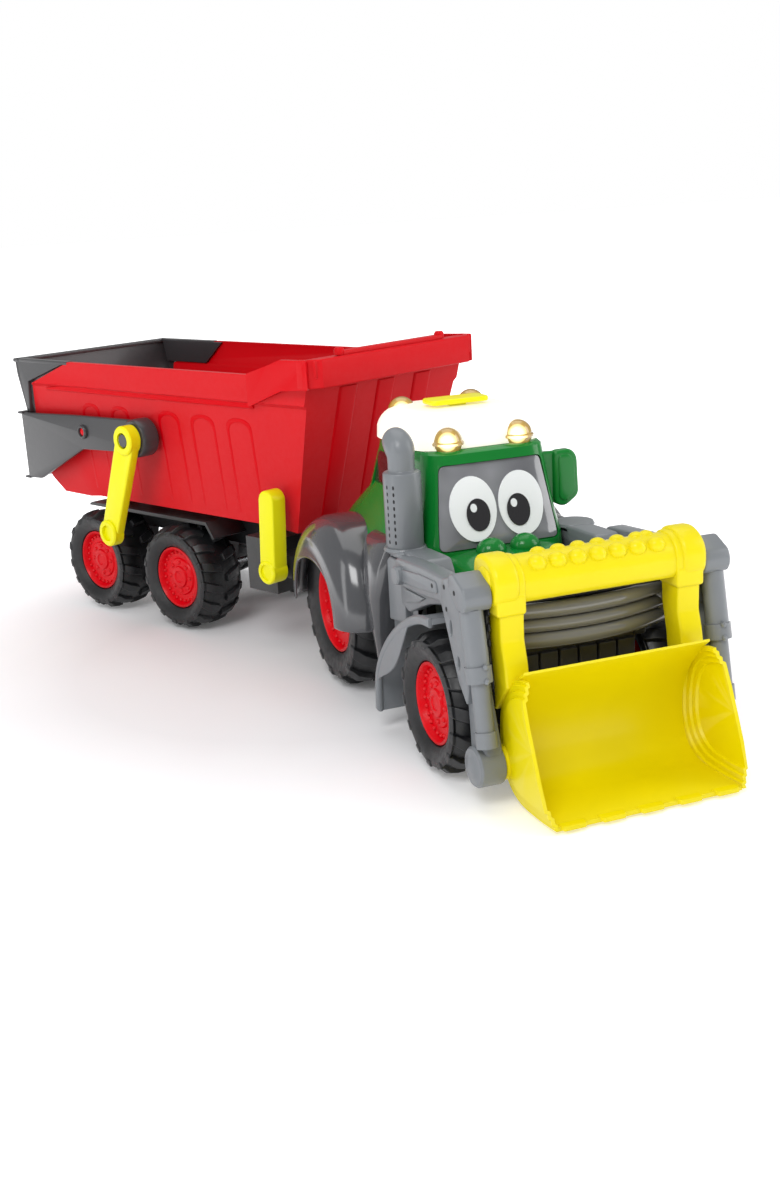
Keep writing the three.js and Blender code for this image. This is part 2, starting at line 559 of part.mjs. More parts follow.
function latchLever() {
  const { leverY: y, leverZ: z } = TIP;
  const paddleSide = outline([[y - 5, z], [y - 8, z + 54], [y, z + 55], [y + 5, z]], 3);
  const paddle = slab("x", paddleSide, [-69.5, -82]);
  const boss = rod(7, [-69.5, -83], y, z, 20);
  const bore = rod(3.5 + HOLE_PLAY, [-60, -77], y, z, 16);
  const mouth = rod(5, [-78, -90], y, z, 16);
  return join(paddle, boss).subtract(join(bore, mouth));
}

const tipHingePin = () => rod(2.5, [-29.7, 29.7], TIP.hingeY, TIP.hingeZ, 14);

// ---- trailer: box -------------------------------------------------------------------------
// The tub's side and front outlines, drawn in by inset. The hollow runs out of the top and the rear.
function tubShape(inset) {
  const { rim, band, floor, rimHalf, floorHalf, frontTop, frontLow } = BOX;
  const i = inset;
  const hollow = inset > 0;
  const top = hollow ? rim + 30 : rim - i;
  const rear = hollow
    ? [[300, floor + i], [313, 97 + i], [320, 105], [360, 105], [360, top]]
    : [[302 - i, floor - 1 + i], [315 - i, 96 + i], [322.5 - i, 104], [322 - i, 150], [319 - i, 172],
    [264 - i, top]];
  const side = [[frontLow + i, floor + i], ...rear, [frontTop + i - (hollow ? 9 : 0), top]];
  const bandHalf = rimHalf - i + (hollow ? -1 : 0.6);
  const face = [[-floorHalf + i, floor + i], [floorHalf - i, floor + i], [rimHalf - 2 - i, band],
    [bandHalf, band + 1], [bandHalf, top], [-bandHalf, top], [-bandHalf, band + 1],
    [-rimHalf + 2 + i, band]];
  return slab("x", side, [-90, 90]).intersect(slab("y", face, [-20, 370]));
}

function tipperBox() {
  const { pivotY, pivotZ } = GATE;
  const { hingeY, hingeZ, leverY } = TIP;
  const tub = tubShape(0).subtract(tubShape(WALL));
  const ribFace = (s) => [[s * 61, 90], [s * 63.4, 90], [s * 69.4, 168], [s * 67, 168]];
  const ribs = [60, 96, 132, 212, 240]
    .flatMap((y) => [-1, 1].map((s) => slab("y", ribFace(s), [y, y + 8])));
  const hingeLugs = [-14, 10].map((x) => block([x, x + 4], [hingeY - 8, hingeY + 8],
    [hingeZ - 4, BOX.floor + 1]));
  const latchRib = block([-8, 8], [leverY - 8, leverY - 3.5], [80, BOX.floor + 1]);
  const studs = [[-64, -92], [64, 85]].map((span) => rod(5, span, pivotY, pivotZ, 16));
  const wingSide = [[10, 187], [10, 199], [30, 198], [60, 190], [60, 187]];
  const wings = [-1, 1].map((s) => slab("x", wingSide, [s * (BOX.rimHalf - 1.9), s * (BOX.rimHalf + 0.6)]));
  const pinHole = rod(2.5 + HOLE_PLAY, [-45, 45], hingeY, hingeZ, 16);
  return join(tub, ...ribs, ...wings, ...hingeLugs, latchRib, ...studs).subtract(pinHole);
}

// The raised band across the front of the box, with the bar and two knobs on it.
function frontBoard() {
  const { half, top, height, front } = BOARD;
  const plan = outline([[-half, 22], [-half, front + 6], [-half + 8, front], [half - 8, front],
    [half, front + 6], [half, 22], [half - 4, 22], [half - 5, 4], [-half + 5, 4], [-half + 4, 22]], 2);
  const band = slab("z", plan, [top - height, top]);
  const shelf = block([-half + 4, half - 4], [front + 2, BOX.frontTop + 4], [BOX.rim + GAP + 0.2, top]);
  const bar = block([-47, 47], [-3, 5], [top - 1, top + 2.4]);
  const knobs = [-47, 47].map((x) => post(3.2, [top - 1, top + 5], x, 1, 14));
  const tub = tubShape(-GAP);
  const clearWings = [-1, 1].map((s) => block([s * (BOX.rimHalf - 2.3), s * (BOX.rimHalf + 1)],
    [9.7, 61], [186, 200]));
  return join(band, shelf, bar, ...knobs).subtract(join(tub, ...clearWings));
}

// ---- trailer: tailgate --------------------------------------------------------------------
function tailgateFrame() {
  const { pivotY: y, pivotZ: z, inner, outer, back } = GATE;
  const armSide = [[y, z - 12], [y, z + 12], [back, z + 8], [back, z - 43], [back - 17, z - 42],
    [250, z - 15]];
  const arms = [-1, 1].map((s) => slab("x", armSide, [s * inner, s * outer]));
  const drums = [-1, 1].map((s) => rod(13.5, [s * (inner - 2), s * 84], y, z, 20));
  const eyes = [-1, 1].map((s) => rod(5, [s * (outer - 1), s * (outer + 2.5)], 247, z - 1));
  const panel = block([-outer, outer], [back - 2.5, back], [z - 43, z + 8]);
  const flanges = [z - 43, z + 6.5].map((low) => block([-outer, outer], [back - 1, back + 4],
    [low, low + 1.5]));
  const bore = rod(5 + HOLE_PLAY, [-200, 200], y, z, 16);
  return join(...arms, ...drums, ...eyes, panel, ...flanges).subtract(bore);
}

// The rear wall above the frame, with wings that close the box's cut corners.
function tailgatePanel() {
  const { back, pivotZ } = GATE;
  const low = pivotZ + 8 + GAP;
  const half = BOX.rimHalf + 0.6;
  const wallSide = [[back + 7, 190], [back + 6, 178], [back - 2, low], [back - 5, low], [back + 2, 180],
    [back + 3, 190]];
  const wall = slab("x", wallSide, [-half, half]);
  const lip = block([-half, half], [back + 2, back + 8.5], [187, 190]);
  const wingSide = [[265.5, 190], [back + 4, 190], [back - 3, low], [back - 5.5, low], [back - 7.5, 172]];
  const wings = [-1, 1].map((s) => slab("x", wingSide, [s * (half - 3), s * half]));
  const box = tubShape(-GAP);
  return join(wall, lip, ...wings).subtract(box);
}

function tailgateLever() {
  const { pivotY: y, pivotZ: z } = GATE;
  const [endY, endZ] = [y + 30, z - 70];
  const barSide = [[y - 8.4, z + 3], [y - 4, z + 8], [y + 6, z + 7.5], [y + 9, z + 2],
    [endY + 10, endZ + 3], [endY - 7, endZ - 3]];
  const bar = slab("x", barSide, [-84.4, -92]);
  const head = rod(9, [-84.4, -93.5], y, z, 18);
  const foot = rod(9, [-84.4, -94], endY, endZ, 18);
  const bore = rod(5 + HOLE_PLAY, [-80, -99], y, z, 16);
  const mouth = rod(5.5, [-80, -99], endY, endZ, 16);
  return join(bar, head, foot).subtract(join(bore, mouth));
}

// ---- assembly -----------------------------------------------------------------------------
place(tractor, "tractor_chassis", tractorChassis(), BLACK);
place(tractor, "hitch_pin", hitchPin(), BLACK);
place(tractor, "battery_right", battery(-BATTERY.x), STEEL);
place(tractor, "battery_left", battery(BATTERY.x), STEEL);
place(tractor, "battery_cover", batteryCover(), BLACK);
place(tractor, "speaker", speaker(), STEEL);
place(tractor, "circuit_board", circuitBoard(), BOARD_GREEN);
place(tractor, "cab_shell", cabShell(), GREEN);
place(tractor, "windscreen", windscreen(), GLASS);
place(tractor, "cab_glazing", cabGlazing(), GLASS);
place(tractor, "roof_cap", roofCap(), WHITE);
place(tractor, "roof_button", roofButton(), YELLOW);
place(tractor, "button_spring", buttonSpring(), STEEL);
place(tractor, "exhaust_stack", exhaustStack(), GREY);
place(tractor, "grille", grille(), DARK_GREY);
place(tractor, "front_bumper", frontBumper(), DARK_GREY);
for (const [word, pair] of Object.entries(LAMPS)) place(tractor, `lamps_${word}`, lampPair(pair), AMBER);
for (const [word, side] of SIDES) {
  place(tractor, `fender_${word}`, fender(side), GREY);
  place(tractor, `side_frame_${word}`, sideFrame(side), GREY);
  place(tractor, `loader_arm_${word}`, loaderArm(side), GREY);
  place(tractor, `bucket_pin_${word}`, bucketPin(side), STEEL);
}
wheelSet(tractor, "rear", REAR, REAR.y);
wheelSet(tractor, "front", FRONT, FRONT.y);
place(tractor, "loader_cross_frame", loaderCrossFrame(), BLACK);
place(tractor, "bucket", bucket(), YELLOW);
place(tractor, "handle_bar", handleBar(), YELLOW);

place(trailer, "trailer_chassis", trailerChassis(), BLACK);
TRAILER_AXLES.forEach((y, i) => wheelSet(trailer, `trailer_${["front", "rear"][i]}`, TRAILER_WHEEL, y));
place(trailer, "latch_shaft", latchShaft(), BLACK);
place(trailer, "latch_lever", latchLever(), YELLOW);
place(trailer, "tip_hinge_pin", tipHingePin(), STEEL);
place(trailer, "tipper_box", tipperBox(), RED);
place(trailer, "front_board", frontBoard(), RED);
place(trailer, "tailgate_frame", tailgateFrame(), DARK_GREY);
place(trailer, "tailgate_panel", tailgatePanel(), DARK_GREY);
place(trailer, "tailgate_lever", tailgateLever(), YELLOW);

toy.updateMatrixWorld(true);
const overall = new THREE.Box3().setFromObject(toy, true);
const middle = overall.getCenter(new THREE.Vector3());
toy.position.set(-middle.x, -middle.y, -overall.min.z);

export default toy;
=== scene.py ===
import json
import math

import bmesh
import bpy
from mathutils import Matrix, Vector


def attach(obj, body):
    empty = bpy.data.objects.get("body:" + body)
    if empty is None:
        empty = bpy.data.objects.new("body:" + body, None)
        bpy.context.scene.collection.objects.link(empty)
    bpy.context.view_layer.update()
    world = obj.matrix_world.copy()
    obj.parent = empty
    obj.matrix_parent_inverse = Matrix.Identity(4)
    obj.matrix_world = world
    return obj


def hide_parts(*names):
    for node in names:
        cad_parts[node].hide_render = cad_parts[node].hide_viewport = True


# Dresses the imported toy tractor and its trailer. Pieces are drawn in millimetres in one of two local
# frames, both with +Z up and -Y forward: the tractor's starts on the ground below its rear axle, and
# the trailer's on the ground below the hitch pin, turned with the trailer.
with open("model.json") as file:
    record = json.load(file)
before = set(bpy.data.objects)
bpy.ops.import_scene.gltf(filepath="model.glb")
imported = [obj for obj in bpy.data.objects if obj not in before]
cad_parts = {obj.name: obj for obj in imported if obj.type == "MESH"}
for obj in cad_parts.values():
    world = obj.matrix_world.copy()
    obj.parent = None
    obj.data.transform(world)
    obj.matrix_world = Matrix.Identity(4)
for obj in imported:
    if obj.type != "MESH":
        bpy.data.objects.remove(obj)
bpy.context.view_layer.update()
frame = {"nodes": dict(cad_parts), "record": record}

MM = 0.001
JOINTS = {joint["name"]: joint for joint in frame["record"]["behaviour"]["joints"]}


def local_frame(origin, turn=0.0):
    return (
        Matrix.Translation((origin[0], origin[1], 0))
        @ Matrix.Rotation(turn, 4, "Z")
        @ Matrix.Scale(MM, 4)
    )


TRAILER_AXIS = JOINTS["trailer_front_wheels_spin"]["axis"]
TRACTOR = local_frame(JOINTS["rear_wheels_spin"]["pos_m"])
TRAILER = local_frame(JOINTS["hitch_turn"]["pos_m"], math.atan2(TRAILER_AXIS[1], TRAILER_AXIS[0]))


def local_place(joint, local):
    """A joint's place in a local frame, in millimetres."""
    return local.inverted() @ Vector(JOINTS[joint]["pos_m"])


def local_box(node, local):
    """A CAD node's lowest and highest corners in a local frame, in millimetres."""
    corners = [local.inverted() @ v.co for v in frame["nodes"][node].data.vertices]
    low = Vector(min(c[i] for c in corners) for i in range(3))
    high = Vector(max(c[i] for c in corners) for i in range(3))
    return low, high


# ---- materials ------------------------------------------------------------------------------


def rgb(code):
    """A linear colour from an sRGB hex code."""
    parts = [((code >> shift) & 255) / 255 for shift in (16, 8, 0)]
    return [c / 12.92 if c < 0.04045 else ((c + 0.055) / 1.055) ** 2.4 for c in parts] + [1.0]


class Nodes:
    """Short calls for building a node tree."""

    def __init__(self, name):
        self.material = bpy.data.materials.new(name)
        self.material.use_nodes = True
        self.tree = self.material.node_tree
        self.shader = self.tree.nodes["Principled BSDF"]
        self.place = self.add("ShaderNodeTexCoord").outputs["Object"]

    def add(self, kind, **inputs):
        return self.fill(self.tree.nodes.new(kind), inputs)

    def fill(self, node, inputs):
        for key, value in inputs.items():
            self.set(node.inputs[key.replace("_", " ")], value)
        return node

    def shade(self, **inputs):
        """Sets inputs of the surface shader."""
        self.fill(self.shader, inputs)

    def set(self, socket, value):
        if isinstance(value, bpy.types.NodeSocket):
            self.tree.links.new(value, socket)
        else:
            socket.default_value = value

    def noise(self, scale, detail=2.0, rough=0.5):
        node = self.add("ShaderNodeTexNoise", Vector=self.place, Scale=scale, Detail=detail, Roughness=rough)
        return node.outputs["Fac"]

    def spread(self, value, low, high, from_low=0.3, from_high=0.7):
        limits = {"From_Min": from_low, "From_Max": from_high, "To_Min": low, "To_Max": high}
        return self.add("ShaderNodeMapRange", Value=value, **limits).outputs["Result"]

    def mix(self, factor, a, b):
        node = self.tree.nodes.new("ShaderNodeMix")
        node.data_type = "RGBA"
        for socket, value in ((0, factor), (6, a), (7, b)):
            self.set(node.inputs[socket], value)
        return node.outputs[2]

    def bump(self, height, strength, distance, normal=None):
        node = self.add("ShaderNodeBump", Strength=strength, Distance=distance, Height=height)
        if normal is not None:
            self.set(node.inputs["Normal"], normal)
        return node.outputs["Normal"]

    def edges(self, low=0.52, high=0.62):
        geometry = self.tree.nodes.new("ShaderNodeNewGeometry")
        return self.spread(geometry.outputs["Pointiness"], 0.0, 1.0, low, high)


# Noise scales of moulded plastic: its cloudy colour, its wear, its flow lines and its fine grain.
CLOUD_SCALE, WEAR_SCALE, FLOW_SCALE, GRAIN_SCALE = 22, 240, 60, 1500


def moulded(name, code, roughness=0.3, coat=0.25, edge=0.25, grain=0.05, painted_glow=0.0, shine=0.4):
    """Injection-moulded plastic: cloudy colour, edges worn lighter, a faint flow pattern, fine grain and, if
    asked, a painted glow that stands in for light.
    """
    n = Nodes(name)
    base = rgb(code)
    dark = [c * 0.96 for c in base[:3]] + [1]
    pale = [c + (1 - c) * 0.12 for c in base[:3]] + [1]
    cloud = n.mix(n.spread(n.noise(CLOUD_SCALE), 0, 1), dark, base)
    worn = n.noise(WEAR_SCALE, 4, 0.7)
    wear = n.add("ShaderNodeMath")
    wear.operation = "MULTIPLY"
    n.set(wear.inputs[0], n.edges())
    n.set(wear.inputs[1], n.spread(worn, 0.6 * edge, edge))
    flow = n.bump(n.noise(FLOW_SCALE, 1), 0.015, 0.001)
    n.shade(
        Base_Color=n.mix(wear.outputs[0], cloud, pale),
        Roughness=n.spread(worn, roughness - 0.02, roughness + 0.04),
        Normal=n.bump(n.noise(GRAIN_SCALE), grain * 0.4, 0.0001, flow),
        Coat_Weight=coat,
        Coat_Roughness=0.12,
        Specular_IOR_Level=shine,
    )
    # Painted light: the surface gives off its own colour, though it is no lamp.
    if painted_glow:
        n.shade(Emission_Color=base, Emission_Strength=painted_glow)
    return n.material


def tyre_plastic():
    """Near-black hard plastic with a satin moulding grain and a little dust in the low places."""
    n = Nodes("tyre_plastic")
    dust = n.spread(n.noise(60, 5, 0.65), 0, 0.35, 0.45, 0.75)
    colour = n.mix(dust, rgb(0x121315), rgb(0x1D1E20))
    n.shade(
        Base_Color=n.mix(n.edges(0.53, 0.65), colour, rgb(0x2C2D30)),
        Roughness=n.spread(n.noise(300, 3), 0.34, 0.52),
        Normal=n.bump(n.noise(900, 4), 0.12, 0.0004),
    )
    return n.material


def turned_steel():
    n = Nodes("steel")
    n.shade(
        Base_Color=n.mix(n.noise(500, 3), rgb(0x9A9C9F), rgb(0xC6C8CA)),
        Metallic=1.0,
        Roughness=n.spread(n.noise(1500, 3), 0.2, 0.4),
    )
    return n.material


def lamp_plastic():
    """Clear amber domes, lit from inside."""
    n = Nodes("lamp_amber")
    layer = n.add("ShaderNodeLayerWeight", Blend=0.45).outputs["Facing"]
    n.shade(
        Base_Color=n.mix(layer, rgb(0xD0A84E), rgb(0x5E4210)),
        Emission_Color=n.mix(layer, rgb(0xFFF0B0), rgb(0xC08A20)),
        Emission_Strength=n.spread(layer, 3.2, 0.04, 0.0, 0.24),
        Roughness=n.spread(n.noise(700), 0.06, 0.14),
        Coat_Weight=0.6,
    )
    return n.material


def dark_glass(name, low, high):
    """A dark, cloudy window insert with a glossy face."""
    n = Nodes(name)
    n.shade(
        Base_Color=n.mix(n.spread(n.noise(30), 0, 1), rgb(low), rgb(high)),
        Roughness=n.spread(n.noise(800), 0.08, 0.18),
        Coat_Weight=0.7,
    )
    return n.material


GREEN = moulded("green_plastic", 0x06782A, 0.2, coat=0.18, edge=0.2, shine=0.25)
RED = moulded("red_plastic", 0xCC000F, 0.36, coat=0.02, edge=0.15, grain=0.03, shine=0.05)
HUB_RED = moulded("hub_red_plastic", 0xD20012, 0.34, coat=0.04, edge=0.3, shine=0.12)
YELLOW = moulded("yellow_plastic", 0xE6D500, 0.33, coat=0.06, edge=0.3, grain=0.06, shine=0.2)
LIME = moulded("lime_plastic", 0xE9E400, 0.34, coat=0.06, edge=0.3, shine=0.2)
GREY = moulded("grey_plastic", 0x75797D, 0.36, coat=0.12, edge=0.2, grain=0.02)
FENDER_GREY = moulded("fender_grey_plastic", 0x48494C, 0.16, coat=0.7, edge=0.25)
DARK_GREY = moulded("dark_grey_plastic", 0x373739, 0.33, coat=0.15, edge=0.2, grain=0.09)
BUMPER_GREY = moulded("bumper_grey_plastic", 0x7A7973, 0.14, coat=0.7, edge=0.3)
BLACK = moulded("black_plastic", 0x1A1B1D, 0.42, coat=0.1, edge=0.3, grain=0.1)
# Painted shade: a near-black for the insides of slots and holes, which are dark only from shade.
SLOT_SHADE = moulded("painted_slot_shade", 0x131416, 0.6, coat=0.0, edge=0.1)
# The roof is no lamp: its glow is painted light.
WHITE = moulded("roof_white_plastic", 0xFFFAEA, 0.35, coat=0.3, edge=0.1, painted_glow=0.3)
EYE_WHITE = moulded("eye_white_print", 0xF4F6F8, 0.22, coat=0.6, edge=0.0, grain=0.02)
EYE_BLACK = moulded("eye_black_print", 0x17151A, 0.18, coat=0.7, edge=0.0, grain=0.02)
BOARD_GREEN = moulded("circuit_green", 0x1F5A34, 0.5, coat=0.3)
TYRE = tyre_plastic()
STEEL = turned_steel()
AMBER = lamp_plastic()
SCREEN_GLASS = dark_glass("windscreen_grey", 0x5A5B60, 0x8A8B90)
WINDOW_GLASS = dark_glass("window_dark", 0x2A2020, 0x463030)

# ---- mesh tools -----------------------------------------------------------------------------

SHARP_ANGLE = math.radians(38)
AXES = {
    "x": Matrix(((0, 0, 1, 0), (1, 0, 0, 0), (0, 1, 0, 0), (0, 0, 0, 1))),
    "y": Matrix(((1, 0, 0, 0), (0, 0, -1, 0), (0, 1, 0, 0), (0, 0, 0, 1))),
    "z": Matrix.Identity(4),
}


def signed_area(loop):
    return sum(a[0] * b[1] - b[0] * a[1] for a, b in zip(loop, loop[1:] + loop[:1])) / 2


def rounded(points, radius, steps=4):
    """An outline with each corner replaced by a curve that starts and ends radius away from it."""
    out = []
    count = len(points)
    for i, point in enumerate(points):
        at = Vector(point)
        before = Vector(points[i - 1]) - at
        after = Vector(points[(i + 1) % count]) - at
        cut = min(radius, before.length * 0.48, after.length * 0.48)
        enter = at + before.normalized() * cut
        leave = at + after.normalized() * cut
        out += [tuple(enter), *curve_points(enter, at, leave, steps)]
    return out


def turns(steps, shift=0.0):
    """Angles evenly round a circle."""
    return [2 * math.pi * (i + shift) / steps for i in range(steps)]


def ellipse(centre, radii, steps=32, boxy=2.0):
    """An ellipse, or with a higher boxy a rounded rectangle."""

    def along(part):
        return math.copysign(abs(part) ** (2 / boxy), part)

    return [
        (centre[0] + radii[0] * along(math.cos(t)), centre[1] + radii[1] * along(math.sin(t)))
        for t in turns(steps)
    ]


def rect(across, up):
    """A rectangle's outline from its two spans."""
    return [(across[0], up[0]), (across[1], up[0]), (across[1], up[1]), (across[0], up[1])]


def curve_points(start, control, end, steps=6):
    """Points on a quadratic curve, without its start."""
    a, c, b = Vector(start), Vector(control), Vector(end)
    shares = [s / steps for s in range(1, steps + 1)]
    return [tuple((1 - t) ** 2 * a + 2 * t * (1 - t) * c + t * t * b) for t in shares]


def plate(axis, points, span, bevel=0.8, holes=()):
    """An outline given thickness along an axis, with its edges and the edges of its holes rounded.
    The outline is (y, z) along x, (x, z) along y, or (x, y) along z."""
    low, high = sorted(span)
    bevel = min(bevel, (high - low) * 0.45)
    curve = bpy.data.curves.new("plate", "CURVE")
    curve.dimensions = "2D"
    curve.fill_mode = "BOTH"
    loops = [list(points) if signed_area(list(points)) > 0 else list(points)[::-1]]
    loops += [list(h)[::-1] if signed_area(list(h)) > 0 else list(h) for h in holes]
    for loop in loops:
        spline = curve.splines.new("POLY")
        spline.points.add(len(loop) - 1)
        for target, (a, b) in zip(spline.points, loop):
            target.co = (a, b, 0, 1)
        spline.use_cyclic_u = True
    curve.extrude = (high - low) / 2 - bevel
    curve.bevel_depth = bevel
    curve.bevel_resolution = 2
    curve.offset = -bevel
    holder = bpy.data.objects.new("plate", curve)
    mesh = bpy.data.meshes.new_from_object(holder)
    bm = bmesh.new()
    bm.from_mesh(mesh)
    bmesh.ops.remove_doubles(bm, verts=bm.verts, dist=0.01)
    bpy.data.objects.remove(holder)
    bpy.data.curves.remove(curve)
    bpy.data.meshes.remove(mesh)
    middle = (low + high) / 2
    shift = {"x": (middle, 0, 0), "y": (0, middle, 0), "z": (0, 0, middle)}[axis]
    bmesh.ops.transform(bm, matrix=Matrix.Translation(shift) @ AXES[axis], verts=bm.verts)
    return bm


def panel(points, corner, span, bevel=0.8, holes=()):
    """A plate across x whose outline has rounded corners."""
    return plate("x", rounded(points, corner), span, bevel, holes)


def block(xs, ys, zs, bevel=0.8, corner=0.0):
    points = rect(xs, ys)
    return plate("z", rounded(points, corner) if corner else points, zs, bevel)


def loft(rings, cap=True, closed=True):
    """A skin through rings of equal length."""
    bm = bmesh.new()
    rows = [[bm.verts.new(p) for p in ring] for ring in rings]
    count = len(rows[0])
    reach = count if closed else count - 1
    for a, b in zip(rows, rows[1:]):
        for i in range(reach):
            k = (i + 1) % count
            bm.faces.new((a[i], a[k], b[k], b[i]))
    if cap:
        bm.faces.new(rows[0][::-1])
        bm.faces.new(rows[-1])
    bmesh.ops.recalc_face_normals(bm, faces=bm.faces)
    return bm


def lathe(profile, centre, axis="x", steps=48, cap=True):
    """A body turned about an axis through centre, from a profile of (radius, place along the axis)."""
    rings = []
    for radius, along in profile:
        circle = ellipse(centre, (max(radius, 0.001), max(radius, 0.001)), steps)
        rings.append([(a, b, along) if axis == "z" else (along, a, b) for a, b in circle])
    bm = loft(rings, cap)
    bmesh.ops.remove_doubles(bm, verts=bm.verts, dist=0.005)
    return bm


def band(profile, centre, steps=48):
    """A ring turned about the x axis, from a closed profile of (radius, x)."""
    return lathe([*profile, profile[0]], centre, steps=steps, cap=False)


def sweep(path, radii, steps=16):
    """A tube along a path. radii is one radius, or one for each point of the path."""
    points = [Vector(p) for p in path]
    sizes = radii if isinstance(radii, (list, tuple)) else [radii] * len(points)
    rings = []
    side = None
    for i, point in enumerate(points):
        ahead = (points[min(i + 1, len(points) - 1)] - points[max(i - 1, 0)]).normalized()
        side = ahead.orthogonal() if side is None else side - ahead * side.dot(ahead)
        side.normalize()
        up = ahead.cross(side)
        rings.append([point + sizes[i] * (side * math.cos(t) + up * math.sin(t)) for t in turns(steps)])
    return loft(rings)


def dome(centre, radii, steps=24, rings=8):
    """An ellipsoid."""
    bm = bmesh.new()
    matrix = Matrix.Translation(centre) @ Matrix.Diagonal((*radii, 1))
    bmesh.ops.create_uvsphere(bm, u_segments=steps, v_segments=rings * 2, radius=1, matrix=matrix)
    return bm


def mirrored(bm):
    copy = bm.copy()
    bmesh.ops.transform(copy, matrix=Matrix.Diagonal((-1, 1, 1, 1)), verts=copy.verts)
    bmesh.ops.reverse_faces(copy, faces=copy.faces)
    return copy


def both(bm):
    return [bm, mirrored(bm)]


def as_mesh(bm, name="part"):
    """A mesh from a bmesh, which is used up."""
    mesh = bpy.data.meshes.new(name)
    bm.to_mesh(mesh)
    bm.free()
    return mesh


def placed(name, data):
    """A new object in the scene."""
    obj = bpy.data.objects.new(name, data)
    bpy.context.scene.collection.objects.link(obj)
    return obj


def merged(parts):
    """One bmesh from many."""
    whole = bmesh.new()
    for part in parts:
        mesh = as_mesh(part)
        whole.from_mesh(mesh)
        bpy.data.meshes.remove(mesh)
    return whole


def carved(bm, cutters, operation="DIFFERENCE"):
    """A bmesh cut by others with Blender's boolean."""
    objects = []
    for part in [bm, *cutters]:
        bmesh.ops.recalc_face_normals(part, faces=part.faces)
        objects.append(placed("cut", as_mesh(part)))
    target = objects[0]
    for cutter in objects[1:]:
        modifier = target.modifiers.new("cut", "BOOLEAN")
        modifier.operation = operation
        modifier.solver = "EXACT"
        modifier.object = cutter
    bpy.context.view_layer.update()
    result = bpy.data.meshes.new_from_object(target.evaluated_get(bpy.context.evaluated_depsgraph_get()))
    out = bmesh.new()
    out.from_mesh(result)
    bpy.data.meshes.remove(result)
    for obj in objects:
        mesh = obj.data
        bpy.data.objects.remove(obj)
        bpy.data.meshes.remove(mesh)
    return out


def soften(obj, width, angle=SHARP_ANGLE):
    """Rounds the edges that turn by more than an angle. The width is in millimetres."""
    edge = obj.modifiers.new("edges", "BEVEL")
    edge.width = width * MM
    edge.segments = 2
    edge.limit_method = "ANGLE"
    edge.angle_limit = angle
    return edge


def piece(name, parts, material, body, local=TRACTOR, replaces=(), bevel=0.0, subdivide=0, shell=0.0):
    """Turns millimetre parts into a piece that rides on a body. bevel and shell are in millimetres."""
    bm = merged(parts)
    bmesh.ops.transform(bm, matrix=local, verts=bm.verts)
    mesh = as_mesh(bm, name)
    mesh.polygons.foreach_set("use_smooth", [True] * len(mesh.polygons))
    mesh.set_sharp_from_angle(angle=SHARP_ANGLE)
    mesh.materials.append(material)
    obj = placed(name, mesh)
    if shell:
        solidify = obj.modifiers.new("shell", "SOLIDIFY")
        solidify.thickness = shell * MM
        solidify.offset = -1
    if subdivide:
        smooth = obj.modifiers.new("smooth", "SUBSURF")
        smooth.levels = smooth.render_levels = subdivide
    if bevel:
        soften(obj, bevel).harden_normals = True
    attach(obj, body)
    if replaces:
        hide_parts(*([replaces] if isinstance(replaces, str) else replaces))


def pair(name, parts, material, body, node=None, **looks):
    """A piece as drawn, on the left, and its mirror image on the right, each replacing its side's node."""
    sides = {"right": [mirrored(part) for part in parts], "left": parts}
    for side, own_parts in sides.items():
        replaces = f"{node}_{side}" if node else ()
        piece(f"{name}_{side}", own_parts, material, body, replaces=replaces, **looks)


def dress(node, material, bevel=0.4):
    """A CAD node that stays, with its own material and softened edges."""
    obj = frame["nodes"][node]
    obj.data.materials.clear()
    obj.data.materials.append(material)
    if bevel:
        soften(obj, bevel, math.radians(35))


# ---- wheels ---------------------------------------------------------------------------------


